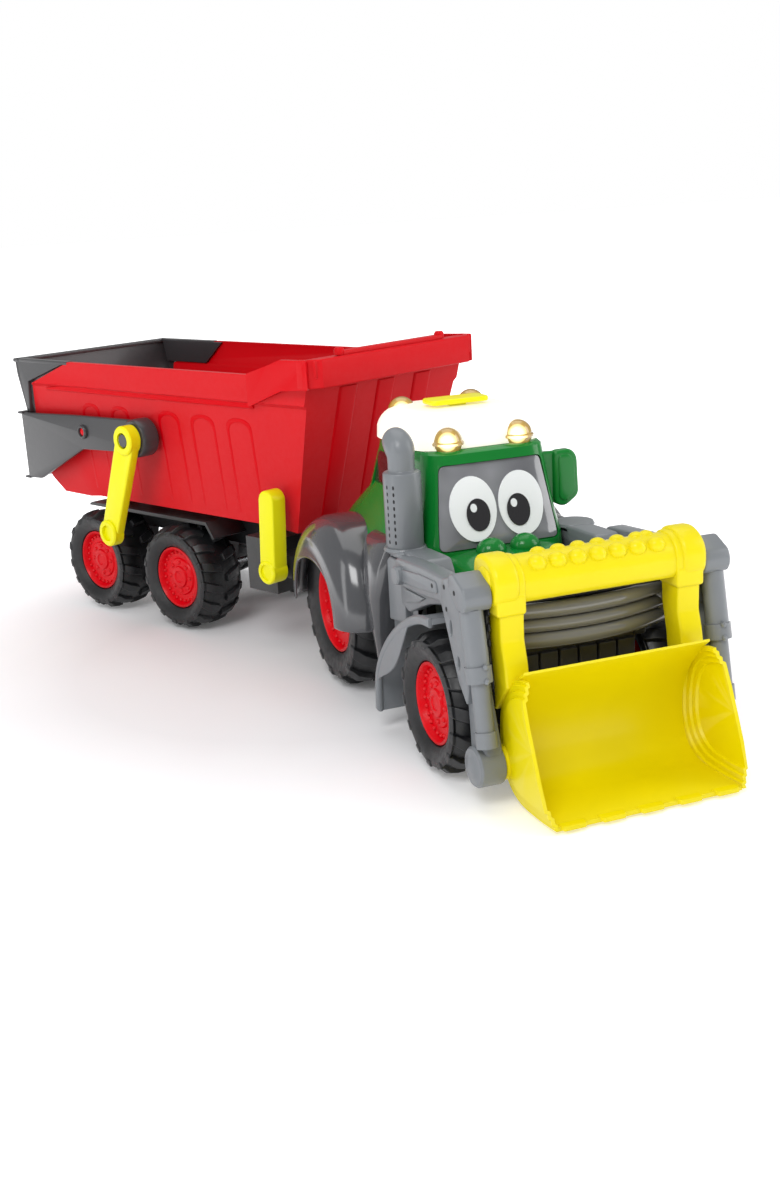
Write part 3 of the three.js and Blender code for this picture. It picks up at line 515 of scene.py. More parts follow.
class Wheel:
    """Sizes of one wheel, read from its CAD tyre and rim."""

    def __init__(self, prefix, side, local, lugs, tall):
        low, high = local_box(f"{prefix}_tyre_{side}", local)
        rim_low, rim_high = local_box(f"{prefix}_rim_{side}", local)
        self.radius = (high.z - low.z) / 2
        self.y, self.z = (low.y + high.y) / 2, (low.z + high.z) / 2
        self.sign = 1 if low.x + high.x > 0 else -1
        self.inner, self.outer = sorted((abs(low.x), abs(high.x)))
        self.middle = (self.inner + self.outer) / 2
        self.rim = (rim_high.z - rim_low.z) / 2
        self.lugs, self.tall = lugs, tall

    def tread_line(self):
        """Points (distance from the middle, radius) from the middle of the tread to the bead."""
        half, r, top = (self.outer - self.inner) / 2, self.radius, self.radius - self.tall
        line = [(0, top), (0.4 * half, top - 0.2), (0.68 * half, top - 0.9), (0.86 * half, top - 3)]
        line += [(0.96 * half, 0.88 * r), (1.0 * half, 0.82 * r), (0.985 * half, 0.76 * r)]
        return line + [(0.9 * half, self.rim + 3), (0.8 * half, self.rim + 0.5), (0.6 * half, self.rim)]

    def place(self, across, radius, turn):
        x = self.sign * (self.middle + across)
        return (x, self.y + radius * math.cos(turn), self.z + radius * math.sin(turn))

    def lug(self, edge, index):
        """One tread bar, from near the middle of the tread over the shoulder."""
        pitch = 2 * math.pi / self.lugs
        start = pitch * (index + (0.5 if edge > 0 else 0.0))
        line = self.tread_line()[1:6]
        line = [(0.06 * (self.outer - self.inner), line[0][1])] + line
        rings = []
        for step, (across, radius) in enumerate(line):
            progress = step / (len(line) - 1)
            height = self.tall * (1 - 0.62 * max(0, progress - 0.5) * 2)
            skew = pitch * 0.42 * (1 - progress) ** 1.3
            wide = pitch * (0.2 + 0.08 * math.sin(progress * math.pi))
            lean = 0.5 * height * max(0, progress - 0.45) * 2
            ring = []
            for turn, up in ((-wide, -0.8), (-wide * 0.74, height), (wide * 0.74, height), (wide, -0.8)):
                away = lean if up > 0 else 0
                drop = 1 - 0.75 * max(0, progress - 0.45) * 1.8
                lift = up * (drop if up > 0 else 1)
                ring.append(self.place(edge * (across + away), radius + lift, start + skew + turn))
            rings.append(ring)
        return loft(rings)

    def tyre(self):
        line = self.tread_line()
        outline = line[::-1] + [(-a, r) for a, r in line[1:]]
        rings = [[self.place(across, radius, t) for across, radius in outline] for t in turns(72)]
        carcass = loft(rings + rings[:1], cap=False)
        bmesh.ops.remove_doubles(carcass, verts=carcass.verts, dist=0.01)
        bars = [self.lug(edge, i) for edge in (-1, 1) for i in range(self.lugs)]
        return [carcass, *bars]

    def hub(self):
        """A dished disc with a ribbed edge, a raised middle and a ring of moulded bolt heads."""
        rim, face = self.rim - 0.2, self.outer - 4
        edge = [(0.76 * rim, -9), (rim, -9), (rim, 0), (rim - 1.2, 0.8), (rim - 2.2, -0.4), (rim - 3.4, -3.4)]
        dish = [(0.62 * rim, -3.9), (0.58 * rim, -2.8), (0.36 * rim, -2.4), (0.33 * rim, -1.2)]
        boss = [(0.2 * rim, -0.8), (0.16 * rim, -1.5), (0, -1.5)]
        profile = [(r, self.sign * (face + x)) for r, x in edge + dish + boss]
        bolts = self.studs(turns(8), 0.47 * rim, -2.6, (1.3, 1.5, 1.5), 12)
        ribs = self.studs(turns(24, 0.5), rim - 4.4, -3.2, (1.2, 1.1, 1.1), 10)
        return [lathe(profile, (self.y, self.z), steps=64), *bolts, *ribs]

    def studs(self, angles, radius, sunk, radii, steps):
        """A ring of small domes on the hub, below its face."""
        across = self.outer - 4 + sunk - self.middle
        return [dome(self.place(across, radius, t), radii, steps, steps // 3) for t in angles]


def wheels(prefix, body, local, lugs, tall):
    for side in ("right", "left"):
        wheel = Wheel(prefix, side, local, lugs, tall)
        name = f"{prefix}_{side}"
        piece(f"{name}_tyre", wheel.tyre(), TYRE, body, local, f"{prefix}_tyre_{side}", bevel=0.5)
        piece(f"{name}_hub", wheel.hub(), HUB_RED, body, local, f"{prefix}_rim_{side}")
    dress(f"{prefix}_axle", STEEL, 0)


wheels("rear", "rear_wheels", TRACTOR, lugs=15, tall=3.4)
wheels("front", "front_wheels", TRACTOR, lugs=14, tall=2.8)
wheels("trailer_front", "trailer_front_wheels", TRAILER, lugs=15, tall=2.6)
wheels("trailer_rear", "trailer_rear_wheels", TRAILER, lugs=15, tall=2.6)

REAR_AXLE = local_place("rear_wheels_spin", TRACTOR)
REAR_R = local_box("rear_tyre_right", TRACTOR)[1].z / 2

# ---- cab ------------------------------------------------------------------------------------

# Heights of the cab with the front, the back and the half width there.
CAB_LEVELS = [
    (84, -105, 32, 46),
    (96, -104.5, 30, 46),
    (104, -103.5, 25, 45.4),
    (116, -100, 18, 43),
    (128, -97, 11, 41.4),
    (140, -94, 5, 40),
    (150, -91.6, -1, 39),
    (154.6, -90.6, -3, 38.4),
    (156.1, -88.6, -5, 37),
]
CAB_BOXY = 6.0


def rounded_ring(z, front, back, half, boxy=CAB_BOXY, steps=72, x=0.0):
    """A rounded rectangle at height z, x to the side."""
    outline = ellipse((x, (front + back) / 2), (half, (back - front) / 2), steps, boxy)
    return [(a, b, z) for a, b in outline]


def cab_level(z):
    for (z0, *low), (z1, *high) in zip(CAB_LEVELS, CAB_LEVELS[1:]):
        if z <= z1:
            t = (z - z0) / (z1 - z0)
            return [a + (b - a) * t for a, b in zip(low, high)]
    return CAB_LEVELS[-1][1:]


def cab_front(x, z):
    """The y of the cab's front surface."""
    front, back, half = cab_level(z)
    middle, deep = (front + back) / 2, (back - front) / 2
    share = min(abs(x) / half, 0.999)
    return middle - deep * (1 - share**CAB_BOXY) ** (1 / CAB_BOXY)


def front_patch(points, near, far, rings=10):
    """A solid whose outline is seen from the front and whose faces follow the cab's front surface."""
    centre = Vector((sum(p[0] for p in points), sum(p[1] for p in points))) / len(points)

    def skin(depth):
        rows = []
        for r in range(rings, 0, -1):
            share = r / rings
            row = []
            for x, z in points:
                px, pz = centre.x + (x - centre.x) * share, centre.y + (z - centre.y) * share
                row.append((px, cab_front(px, pz) + depth, pz))
            rows.append(row)
        return rows

    return loft(skin(near)[::-1] + skin(far))


SCREEN = rounded([(-38, 101.5), (38, 101.5), (32, 149.2), (-32, 149.2)], 4, 5)
SCREEN_INNER = rounded([(-37.5, 102), (37.5, 102), (31.5, 148.7), (-31.5, 148.7)], 3.6, 5)
SIDE_WINDOW = rounded([(-71, 113), (-66.5, 148.5), (-13, 148.5), (3, 115)], 5)
REAR_WINDOW = rounded([(-28, 121), (28, 121), (26, 148), (-26, 148)], 5)


def rear_lean(z):
    """How far the cab's back leans forward at a height."""
    return (z - 116) * 0.5


def wheel_wells(outer):
    """Room for the rear tyres, as cutters that reach from inside the cab to outer."""
    radius = REAR_R + 2.5
    return both(lathe([(0, 34), (radius, 34), (radius, outer), (0, outer)], (REAR_AXLE.y, REAR_AXLE.z)))


def cab():
    shell = loft([rounded_ring(z, f, b, h) for z, f, b, h in CAB_LEVELS])
    screen_cut = front_patch(SCREEN, -20, 2.2)
    side_cuts = both(plate("x", SIDE_WINDOW, (38.2, 60), 0.01))
    rear_cut = plate("y", REAR_WINDOW, (-14, 40), 0.01)
    for v in rear_cut.verts:
        if v.co.y < 0:
            v.co.y = 7 - rear_lean(v.co.z)
    return carved(shell, [screen_cut, *side_cuts, rear_cut, *wheel_wells(60)])


def hood():
    """The bonnet, its cheeks under the windscreen, and two soft bulges on top."""
    stations = [(-99, 39, 101.5), (-108, 38.6, 102), (-120, 38.4, 101), (-140, 38, 99), (-160, 37.4, 96.4)]
    stations += [(-170, 36.6, 94.2), (-174.5, 35, 91), (-176, 33, 88)]
    rings = []
    low = 66
    for y, half, top in stations:
        outline = ellipse((0, (low + top) / 2), (half, (top - low) / 2), 48, 4.2)
        rings.append([(x, y, z) for x, z in outline])
    return [loft(rings), *both(dome((10.5, -110, 101.5), (9, 8, 7.6)))]


def haunches():
    """The green sides that spread over the rear wheels, left open for the tyres."""
    levels = [(86, -76, 41, 60), (92, -76, 40, 59), (98, -76.5, 38, 56.4), (104, -77.5, 35, 52.4)]
    levels += [(110, -78.5, 31, 48.4), (116, -80, 25, 45), (122, -82, 18, 42.2), (128, -84, 11, 40.4)]
    body = loft([rounded_ring(z, f, b, h, 5) for z, f, b, h in levels])
    return carved(body, wheel_wells(70))


def mirror():
    panel = rounded([(43.5, 117), (50, 114.6), (59.4, 121), (58.6, 144), (55, 148.6), (43.5, 148.6)], 3.4)
    inset = rounded([(46, 120), (50.6, 118), (56.8, 123), (56.2, 142), (53.4, 146), (46, 146)], 3)
    flange = plate("y", rounded([(36, 122), (46, 118.5), (46, 148), (36, 148.4)], 1.5), (-83, -79), 1)
    return [plate("y", panel, (-85, -78.5), 1.4), plate("y", inset, (-85.8, -84), 0.7), flange]


piece("cab_body", [cab()], GREEN, "tractor", replaces="cab_shell", bevel=0.7)
piece("cab_haunches", [haunches()], GREEN, "tractor", bevel=0.6)
piece("cab_hood", hood(), GREEN, "tractor")
piece("cab_mirror", mirror(), GREEN, "tractor")
screen = front_patch(SCREEN_INNER, 0.9, 2.6)
piece("windscreen_pane", [screen], SCREEN_GLASS, "tractor", replaces="windscreen", bevel=0.3)
side_panes = both(plate("x", SIDE_WINDOW, (37.2, 38.7), 0.3))
rear_pane = plate("y", REAR_WINDOW, (-1, 0.4), 0.3)
for v in rear_pane.verts:
    v.co.y += 7.6 - rear_lean(v.co.z)
piece("cab_windows", [*side_panes, rear_pane], WINDOW_GLASS, "tractor", replaces="cab_glazing")


def eye(side):
    """A plain round eye of a generic design: a white oval, a black pupil and a small glint."""
    white = front_patch(ellipse((side * 15, 124), (14.2, 18), 40), 0.1, 1.2, 6)
    pupil = front_patch(ellipse((side * 12.6, 120.5), (7.2, 9), 32), -0.4, 0.6, 5)
    glint = front_patch(ellipse((side * 12.6 - 2.6, 124.6), (2, 2.4), 16), -0.7, 0.0, 3)
    return white, pupil, glint


eyes = [eye(-1), eye(1)]
piece("eye_whites", [e[0] for e in eyes] + [e[2] for e in eyes], EYE_WHITE, "tractor")
piece("eye_pupils", [e[1] for e in eyes], EYE_BLACK, "tractor")

# ---- roof -----------------------------------------------------------------------------------

roof_low, roof_high = local_box("roof_cap", TRACTOR)


def roof():
    """A dome with a straight skirt, drawn in towards its top."""
    front, back, half, z0 = roof_low.y, roof_high.y, roof_high.x, roof_low.z
    tall, skirt, steps = roof_high.z - z0, 4, 8
    rings = [rounded_ring(z0 - 0.2, front + 3, back - 3, half - 3, 5), rounded_ring(z0, front, back, half, 5)]
    for k in range(1, steps + 1):
        t = k / steps * math.pi / 2
        pull = 15 * (1 - math.cos(t))
        z = z0 + skirt + (tall - skirt) * math.sin(t)
        rings.append(rounded_ring(z, front + pull, back - pull, half - pull * 0.9, 5 - k * 0.15))
    rings.append(rounded_ring(z0 + tall, front + 26, back - 26, half - 24, 4))
    return loft(rings)


piece("roof_dome", [roof()], WHITE, "tractor", replaces="roof_cap")

LAMP_R = 8.5

for place_name in ("front", "rear"):
    low, high = local_box(f"lamps_{place_name}", TRACTOR)
    middle_y, middle_z = low.y + LAMP_R, high.z - LAMP_R
    domes = []
    for x in (low.x + LAMP_R, high.x - LAMP_R):
        domes.append(dome((x, middle_y, middle_z), (LAMP_R, LAMP_R, LAMP_R), 28, 10))
        collar = [(0, -1.2), (LAMP_R + 0.9, -1.2), (LAMP_R + 0.9, 0), (LAMP_R, 0.8), (0, 0.8)]
        domes.append(lathe([(r, middle_z + z) for r, z in collar], (x, middle_y), "z", 32))
    piece(f"lamp_domes_{place_name}", domes, AMBER, "tractor", replaces=f"lamps_{place_name}")

button_low, button_high = local_box("roof_button", TRACTOR)
button_spans = zip(button_low.xy, button_high.xy)
button_plate = block(*button_spans, (button_high.z - 3, button_high.z), 1.0, 4)
button_stem = block((-5, 5), (-48, -40), (button_low.z, button_high.z - 1), 0.5)
piece("roof_button_plate", [button_plate, button_stem], LIME, "roof_button", replaces="roof_button")

# ---- exhaust --------------------------------------------------------------------------------

ex_low, ex_high = local_box("exhaust_stack", TRACTOR)
EX_R = (ex_high.x - ex_low.x) / 2
EX_X, EX_Y = (ex_low.x + ex_high.x) / 2, ex_low.y + EX_R


def exhaust():
    """A can with a bent pipe out of its top, closed by a dome."""
    base, shoulder, bend_z = ex_low.z, 149, 157
    can = [(0, base), (EX_R - 0.4, base), (EX_R, base + 0.6)]
    can += [(EX_R, shoulder - 1.6), (EX_R - 0.5, shoulder - 0.5), (EX_R - 1.6, shoulder)]
    can += [(8.2, shoulder), (7.8, shoulder + 0.6), (0, shoulder + 0.6)]
    path = [(EX_X, EX_Y, z) for z in (shoulder - 1, 153, bend_z)]
    sizes = [7.6, 7.6, 7.7]
    bend = 8
    for k in range(1, 9):
        t = k / 8 * math.radians(72)
        path.append((EX_X, EX_Y + bend * (1 - math.cos(t)) * 1.2, bend_z + bend * math.sin(t)))
        sizes.append(7.7 + 0.7 * math.sin(math.pi * k / 9))
    return [lathe(can, (EX_X, EX_Y), "z", 56), sweep(path, sizes, 28), dome(path[-1], (7.9, 6.6, 7.9))]


def exhaust_slots():
    """Two columns of small slots on the can's front, drawn as dark pills of painted shade."""
    slots = []
    for angle in (220, 196):
        for k in range(9):
            place = Matrix.Translation((EX_X, EX_Y, 110 + k * 3.9))
            spin = place @ Matrix.Rotation(math.radians(angle), 4, "Z")
            pill = dome((EX_R - 0.25, 0, 0), (0.45, 0.75, 1.45), 10, 4)
            bmesh.ops.transform(pill, matrix=spin, verts=pill.verts)
            slots.append(pill)
    return slots


piece("exhaust_pipe", exhaust(), GREY, "tractor", replaces="exhaust_stack", bevel=0.3)
piece("exhaust_slots", exhaust_slots(), SLOT_SHADE, "tractor")

# ---- fenders --------------------------------------------------------------------------------

fender_low, fender_high = local_box("fender_left", TRACTOR)
FENDER_R = fender_high.z - REAR_AXLE.z


def fender():
    """A hood over the rear wheel: across the tread, round the shoulder and down the skirt to its arch."""
    inner, outer, shoulder = fender_low.x, fender_high.x, 19
    arch_y, arch_z = 45.0, 32.0
    rows = []
    count = 44
    for i in range(-1, count + 2):
        t = math.pi * min(max(i / count, 0), 1)
        sink = REAR_AXLE.z - fender_low.z if i in (-1, count + 1) else 0

        def at(x, r, t=t, sink=sink):
            return (x, REAR_AXLE.y - r * math.cos(t), REAR_AXLE.z + r * math.sin(t) - sink)

        opening = 1 / math.sqrt((math.cos(t) / arch_y) ** 2 + (math.sin(t) / arch_z) ** 2)
        row = [at(inner, FENDER_R - 0.6), at(inner + 8, FENDER_R - 0.2), at(inner + 15, FENDER_R)]
        straight = FENDER_R - shoulder
        for k in range(8):
            a = math.radians(90 * k / 7)
            row.append(at(outer - shoulder + shoulder * math.sin(a), straight + shoulder * math.cos(a)))
        edge = min(opening, straight - 1)
        row += [at(outer, (straight + edge) / 2), at(outer - 0.2, edge + 0.8), at(outer + 0.3, edge)]
        rows.append(row)
    return loft(rows, cap=False, closed=False)


pair("fender_hood", [fender()], FENDER_GREY, "tractor", "fender", shell=2.2, subdivide=1)


def fairing():
    """The glossy panel between the fender and the loader's tower, running down as a mud flap."""
    levels = [(20, -62, -56, 44, 62), (48, -66, -55, 43.5, 66), (72, -72, -53, 43, 69)]
    levels += [(90, -75, -45, 42, 67), (99, -75, -38, 41, 63.5), (103, -74, -36, 41, 61)]
    levels.append((105, -71, -36, 41, 57))
    rings = []
    for z, front, back, inside, outside in levels:
        middle, half = (inside + outside) / 2, (outside - inside) / 2
        rings.append(rounded_ring(z, front, back, half, 3.4, 40, middle))
    return loft(rings)


piece("fender_fairings", both(fairing()), FENDER_GREY, "tractor", bevel=0.8)

# ---- side frames ----------------------------------------------------------------------------

# The mudguard's outer line, straight down behind the wheel and curving forward over it.
GUARD_LINE = [(-91, 13), (-92.5, 31), (-96.5, 41), (-103, 50), (-111, 58.5), (-120, 66)]
GUARD_LINE += [(-130, 72.8), (-141, 79), (-153, 84.2), (-165, 87.6), (-176, 88.6)]


def arc(centre, radius, start, end):
    steps = 18
    angles = [math.radians(start + (end - start) * i / steps) for i in range(steps + 1)]
    return [(centre[0] + radius * math.cos(t), centre[1] + radius * math.sin(t)) for t in angles]


def smooth_line(points):
    """A Catmull-Rom curve through points."""
    steps = 4
    out = []
    padded = [Vector(p) for p in (points[0], *points, points[-1])]
    for a, b, c, d in zip(padded, padded[1:], padded[2:], padded[3:]):
        for s in range(steps):
            t = s / steps
            bend = (2 * a - 5 * b + 4 * c - d) * t**2 + (3 * b - a - 3 * c + d) * t**3
            out.append(tuple((2 * b + (c - a) * t + bend) / 2))
    return [*out, points[-1]]


def offset_line(points, distance):
    """A line beside another, on its right."""
    out = []
    for i, point in enumerate(points):
        before, after = points[max(i - 1, 0)], points[min(i + 1, len(points) - 1)]
        along = (Vector(after) - Vector(before)).normalized()
        out.append((point[0] + along.y * distance, point[1] - along.x * distance))
    return out


def mudguard():
    """A sheet over the front wheel with a rolled lip and a skirt that is widest at the shoulder."""
    line = smooth_line(GUARD_LINE)
    sheet = line + offset_line(line, -2.8)[::-1]
    lip = offset_line(line, 0.9) + offset_line(line, -4.2)[::-1]
    inner = []
    for i in range(len(line)):
        share = min(1, max(0, (i / (len(line) - 1) - 0.12) / 0.62))
        depth = 3.4 + 12.5 * max(0.0, math.sin(math.pi * share))
        inner.append(offset_line(line, -depth)[i])
    return [
        plate("x", sheet, (43, 76), 0.9),
        plate("x", lip, (74.6, 78.4), 1.6),
        plate("x", line + inner[::-1], (76.6, 78), 0.5),
    ]


def side_frame():
    """The step, the mudguard and the loader's tower, drawn for the left side."""
    step = [(-75, 24), (-75, 82), (-112, 82), (-113, 66), (-99, 44), (-96, 24)]
    tower = [(-76, 72), (-76, 99), (-80, 104), (-104, 106.5), (-131, 107.5), (-136, 101)]
    tower += [(-137, 92), (-112, 88), (-108, 72)]
    slot = rounded([(-107, 66), (-107, 99), (-112, 102), (-118, 100), (-118, 66)], 1)
    stud = [(0, 58), (5.2, 58), (5.2, 73.4), (4.4, 74.4), (0, 74.4)]
    rib = [(-80, 62), (-80, 97), (-84, 100.5), (-105, 100), (-105, 66)]
    hook = [(-100, 99), (-100, 104), (-111, 104), (-111, 97), (-107, 97), (-106, 99)]
    cap = [(44, -101), (61, -101), (63, -94), (62.5, -76), (44, -76)]
    foot = [(0, 104.6), (EX_R + 1.6, 104.6), (EX_R + 0.8, 106.2), (0, 106.2)]
    return [
        *mudguard(),
        panel(step, 3, (44, 58.5), 2.2),
        panel(tower, 2.5, (44, 59.2), 1.6, [slot]),
        panel(rib, 1.5, (57, 62.4), 1),
        panel(hook, 1, (56, 62), 0.7),
        plate("z", rounded(cap, 3), (101.5, 105.2), 1.2),
        lathe(foot, (-EX_X, EX_Y), "z", 40),
        lathe(stud, (-122, 99), steps=28),
    ]


# A near-black plate inside the tower's slot: painted shade in the opening.
slot_shade_backing = plate("x", rounded(rect((-120, -105), (64, 104)), 2), (50, 54.5), 0.3)
pair("tower_and_mudguard", side_frame(), GREY, "tractor", "side_frame")
pair("tower_slot_shade", [slot_shade_backing], SLOT_SHADE, "tractor")

# ---- nose -----------------------------------------------------------------------------------


def grille():
    """Upright slats with a row of teeth above, and a short side piece at each end."""
    parts = [block((-35, 35), (-188.5, -176.5), (30, 94), 1)]
    for i in range(6):
        x = 11.4 * (i - 2.5)
        parts.append(block((x - 5.1, x + 5.1), (-191.4, -186), (30, 66), 0.9, 1))
        parts.append(block((x - 5, x + 5), (-191, -180), (92, 98 - 0.03 * abs(x)), 1.8, 2))
    side = rounded([(34, -190), (41.5, -189.4), (41.5, -186), (34, -184)], 1)
    return [*parts, *both(plate("z", side, (66, 96), 0.8))]


def bumper():
    """Three curved ribs on a web, with a knob at each end."""
    half, sag, steps = 52.0, 11.5, 24

    def bowed(front):
        xs = [half * (2 * i / steps - 1) for i in range(steps + 1)]
        return [(x, front + sag * (x / half) ** 2) for x in xs]

    parts = []
    for z, front, wide, tall in ((75, -199.4, 3.6, 4.3), (83, -199.8, 3.2, 3.4), (90.8, -199.2, 3.4, 4.2)):
        rings = [[(x, a, b) for a, b in ellipse((y, z), (wide, tall), 20)] for x, y in bowed(front)]
        parts.append(loft(rings))
    web = bowed(-197)
    parts.append(plate("z", web + [(x, y + 4) for x, y in web[::-1]], (73, 93), 0.5))
    x = half - 1
    y = sag * (x / half) ** 2 - 199.8
    parts += both(dome((x, y, 85.6), (4.6, 4.4, 5.0), 24, 10))
    parts += both(lathe([(0, 72), (3.4, 72), (4, 74), (4, 80), (0, 82)], (x, y + 1.6), "z", 24))
    return parts


piece("nose_grille", grille(), DARK_GREY, "tractor", replaces="grille")
piece("nose_bumper", bumper(), BUMPER_GREY, "tractor", replaces="front_bumper", bevel=0.4)

# ---- loader ---------------------------------------------------------------------------------

FOOT = local_place("bucket_tilt", TRACTOR)
ARM_IN, ARM_OUT = 60.0, 72.0
RAM_X = 68.6


def shaded_hole(y, z, x, radius):
    """A round hole with a rim, seen in an arm's outer face, its inside a disc of painted shade."""
    profile = [(0, x), (radius, x), (radius, x + 0.25), (radius * 0.7, x + 0.3), (0, x + 0.3)]
    return lathe(profile, (y, z), steps=16)


def ram_tube(start, end, radius):
    return sweep([(RAM_X, *start), (RAM_X, *end)], radius, 20)


def loader_arm():
    """The left arm: boom, link and shank with a web behind, and a ram that is moulded on."""
    boom = [(-111, 92), (-111, 103), (-116, 107.5), (-150, 110), (-186, 111), (-200, 108), (-206, 84)]
    boom += [(-196, 73), (-190, 75), (-176, 97), (-150, 94.5)]
    shank = [(-190, 82), (-200, 86), (-210, 78), (-213, 60), (-225.5, 24), (-224, 15), (-217, 11.8)]
    shank += [(-209, 14), (-205.6, 24), (-204.6, 40), (-203, 58), (-196, 70)]
    link = [(-181, 100), (-184, 111.5), (-194, 115), (-206, 108), (-213, 66), (-209.5, 52)]
    link += [(-200, 62), (-192, 78)]
    link_holes = [ellipse((-193, 88), (1.8, 4.2), 16), ellipse((-201, 72), (1.8, 3.4), 16)]
    cap = [(-196.5, 111), (-198.5, 117.6), (-204, 119), (-215, 113.5), (-217, 109.5), (-217, 105)]
    cap += [(-214.6, 101.4), (-208, 101)]
    foot = [(0, ARM_IN), (10.2, ARM_IN), (10.6, ARM_IN + 1), (10.6, ARM_OUT + 0.6), (9.6, ARM_OUT + 1.8)]
    foot += [(6, ARM_OUT + 2.2), (5, ARM_OUT + 3), (0, ARM_OUT + 3.4)]
    boom_panel = [(-118, 95.5), (-118, 102), (-150, 106), (-172, 107), (-174, 101), (-150, 98)]
    web = [(-113, 81), (-113, 100), (-180, 104), (-186, 84), (-178, 94.5), (-165, 92.5), (-153, 89.5)]
    web += [(-141, 85), (-124, 78)]
    web_panel = [(-121, 83), (-121, 91), (-150, 92), (-141, 88)]
    return [
        panel(web, 2, (ARM_IN, ARM_OUT - 4.5), 1.0),
        panel(web_panel, 1.5, (ARM_OUT - 5, ARM_OUT - 3.7), 0.5),
        panel(boom, 2.5, (ARM_IN, ARM_OUT - 1.5), 1.3),
        panel(boom_panel, 2, (ARM_OUT - 2, ARM_OUT - 0.6), 0.6),
        panel(shank, 3, (ARM_IN, ARM_OUT - 2), 2),
        panel(link, 2, (ARM_OUT - 5, ARM_OUT + 0.8), 1, link_holes),
        panel(cap, 1.6, (ARM_IN, ARM_OUT + 3.2), 1.2),
        ram_tube((-209.5, 101), (-216.5, 66), 6.0),
        ram_tube((-216.2, 68), (-222.5, 36), 4.6),
        ram_tube((-215, 74), (-216.6, 66), 6.8),
        ram_tube((-221.4, 42), (-223, 34), 5.4),
        lathe(foot, (FOOT.y, FOOT.z), steps=40),
        *[dome((RAM_X - 1, y, z), (1.4, 1.6, 1.6), 12, 4) for y, z in ((-222, 75), (-223, 68))],
    ]


# The holes in the arm's outer face, each filled with painted shade.
def arm_shaded_holes():
    spots = [(-168, 104, -0.8), (-187, 108, 0.6), (-195, 111.5, 0.6), (-189, 97, 0.6), (-200, 104.5, 0.6)]
    return [shaded_hole(y, z, ARM_OUT + raised, 1.3) for y, z, raised in [*spots, (-205, 109.5, 3.0)]]


pair("loader_lift_arm", loader_arm(), GREY, "loader", "loader_arm", bevel=0.4)
pair("loader_arm_hole_shades", arm_shaded_holes(), SLOT_SHADE, "loader")
dress("bucket_pin_left", STEEL, 0)
dress("bucket_pin_right", STEEL, 0)


def cross_frame():
    """Dark side plates with a row of studs, joined by a tube."""
    edge = [(-193, 101), (-207, 101), (-208, 60), (-207, 28), (-203.5, 28), (-203, 58), (-195, 72)]
    plates = both(panel(edge, 2, (57.5, 59.7), 0.5))
    studs = []
    for k in range(9):
        z = 34 + k * 8
        studs += both(dome((58.6, -207.6 - 0.1 * (z > 60), z), (1.1, 1.4, 2.4), 12, 4))
    return [*plates, *studs, sweep([(-58, -197, 98.2), (58, -197, 98.2)], 2.4, 20)]


piece("loader_frame", cross_frame(), BLACK, "loader", replaces="loader_cross_frame", bevel=0.2)

# ---- bucket ---------------------------------------------------------------------------------

BUCKET_HALF = 53.5
LIP = (-262.5, 2.6)
TOP_EDGE = (-233, 73)


def scoop_line(inset):
    """From the lip along the floor and up the back to the top edge, drawn in by inset."""
    i = inset
    line = [(LIP[0], LIP[1] - 1 + i), (-246, 1.4 + i), (-232, 1.5 + i)]
    line += curve_points((-232, 1.5 + i), (-206 - i, 1.5 + i), (-206 - i, 30), 10)
    line += curve_points((-206 - i, 30), (-206 - i, 56 - i), (TOP_EDGE[0], TOP_EDGE[1] - i * 0.6), 10)
    return line


def bucket_cheek():
    """A side wall pressed outwards in steps, each a smaller arch about the middle of the front edge."""
    arch = [(-236.5, 69)]
    arch += curve_points((-236.5, 69), (-207, 68), (-206.2, 34), 14)
    arch += curve_points((-206.2, 34), (-205.6, 2.2), (-236, 2), 14)
    arch += [(-250, 2), (-264, 3)]
    front = Vector((-249.6, 38))
    steps = [(1.0, 51.6), (0.93, 51.6), (0.91, 52.8), (0.84, 52.8), (0.82, 54.0), (0.75, 54.0)]
    steps += [(0.73, 55.4), (0.4, 55.8), (0.001, 55.8)]
    rings = [[(x, *(front + (Vector(p) - front) * scale)) for p in arch] for scale, x in steps]
    return loft(rings, cap=False, closed=False)


def bucket_parts():
    section = scoop_line(0) + scoop_line(2.4)[::-1]
    scoop = plate("x", section, (-BUCKET_HALF + 1, BUCKET_HALF - 1), 0.6)
    teeth = []
    for x in (-43, -21.5, 0, 21.5, 43):
        root, tip = LIP[0] + 3, LIP[0] - 2.6
        tooth = [(x - 7.5, root), (x + 7.5, root), (x + 6, tip), (x - 6, tip)]
        teeth.append(plate("z", rounded(tooth, 1), (2, 4.6), 0.6))
    upright = [(-222, 62), (-220, 74), (-217, 84), (-217.4, 104), (-200.5, 104), (-201.5, 86), (-205, 72)]
    upright += [(-206.6, 60), (-206.4, 46), (-211, 50)]
    bars = both(panel(upright, 1.5, (43.4, 56.6), 1.4))
    lugs = both(lathe([(0, 56), (9, 56), (9, 58.6), (8.4, 59.2), (0, 59.2)], (FOOT.y, FOOT.z), steps=32))
    return [scoop, *teeth, *bars, *lugs]


piece("bucket_scoop", bucket_parts(), YELLOW, "bucket", replaces="bucket", bevel=0.3)
pair("bucket_cheek", [bucket_cheek()], YELLOW, "bucket", shell=-2.0, bevel=0.5)

BEAM_HALF = local_box("handle_bar", TRACTOR)[1].x
BEAM_Y, BEAM_Z = -205.0, 112.0


def beam_section(grow):
    y, z, g = BEAM_Y, BEAM_Z, grow
    front = [(y - 12 - g, z - 10.4), (y - 12.6 - g, z + 4 + g), (y - 4, z + 12.4 + g)]
    back = [(y + 9 + g, z + 11 + g), (y + 10 + g, z - 8), (y + 6, z - 10.4)]
    return rounded(front + back, 6 + g, 6)


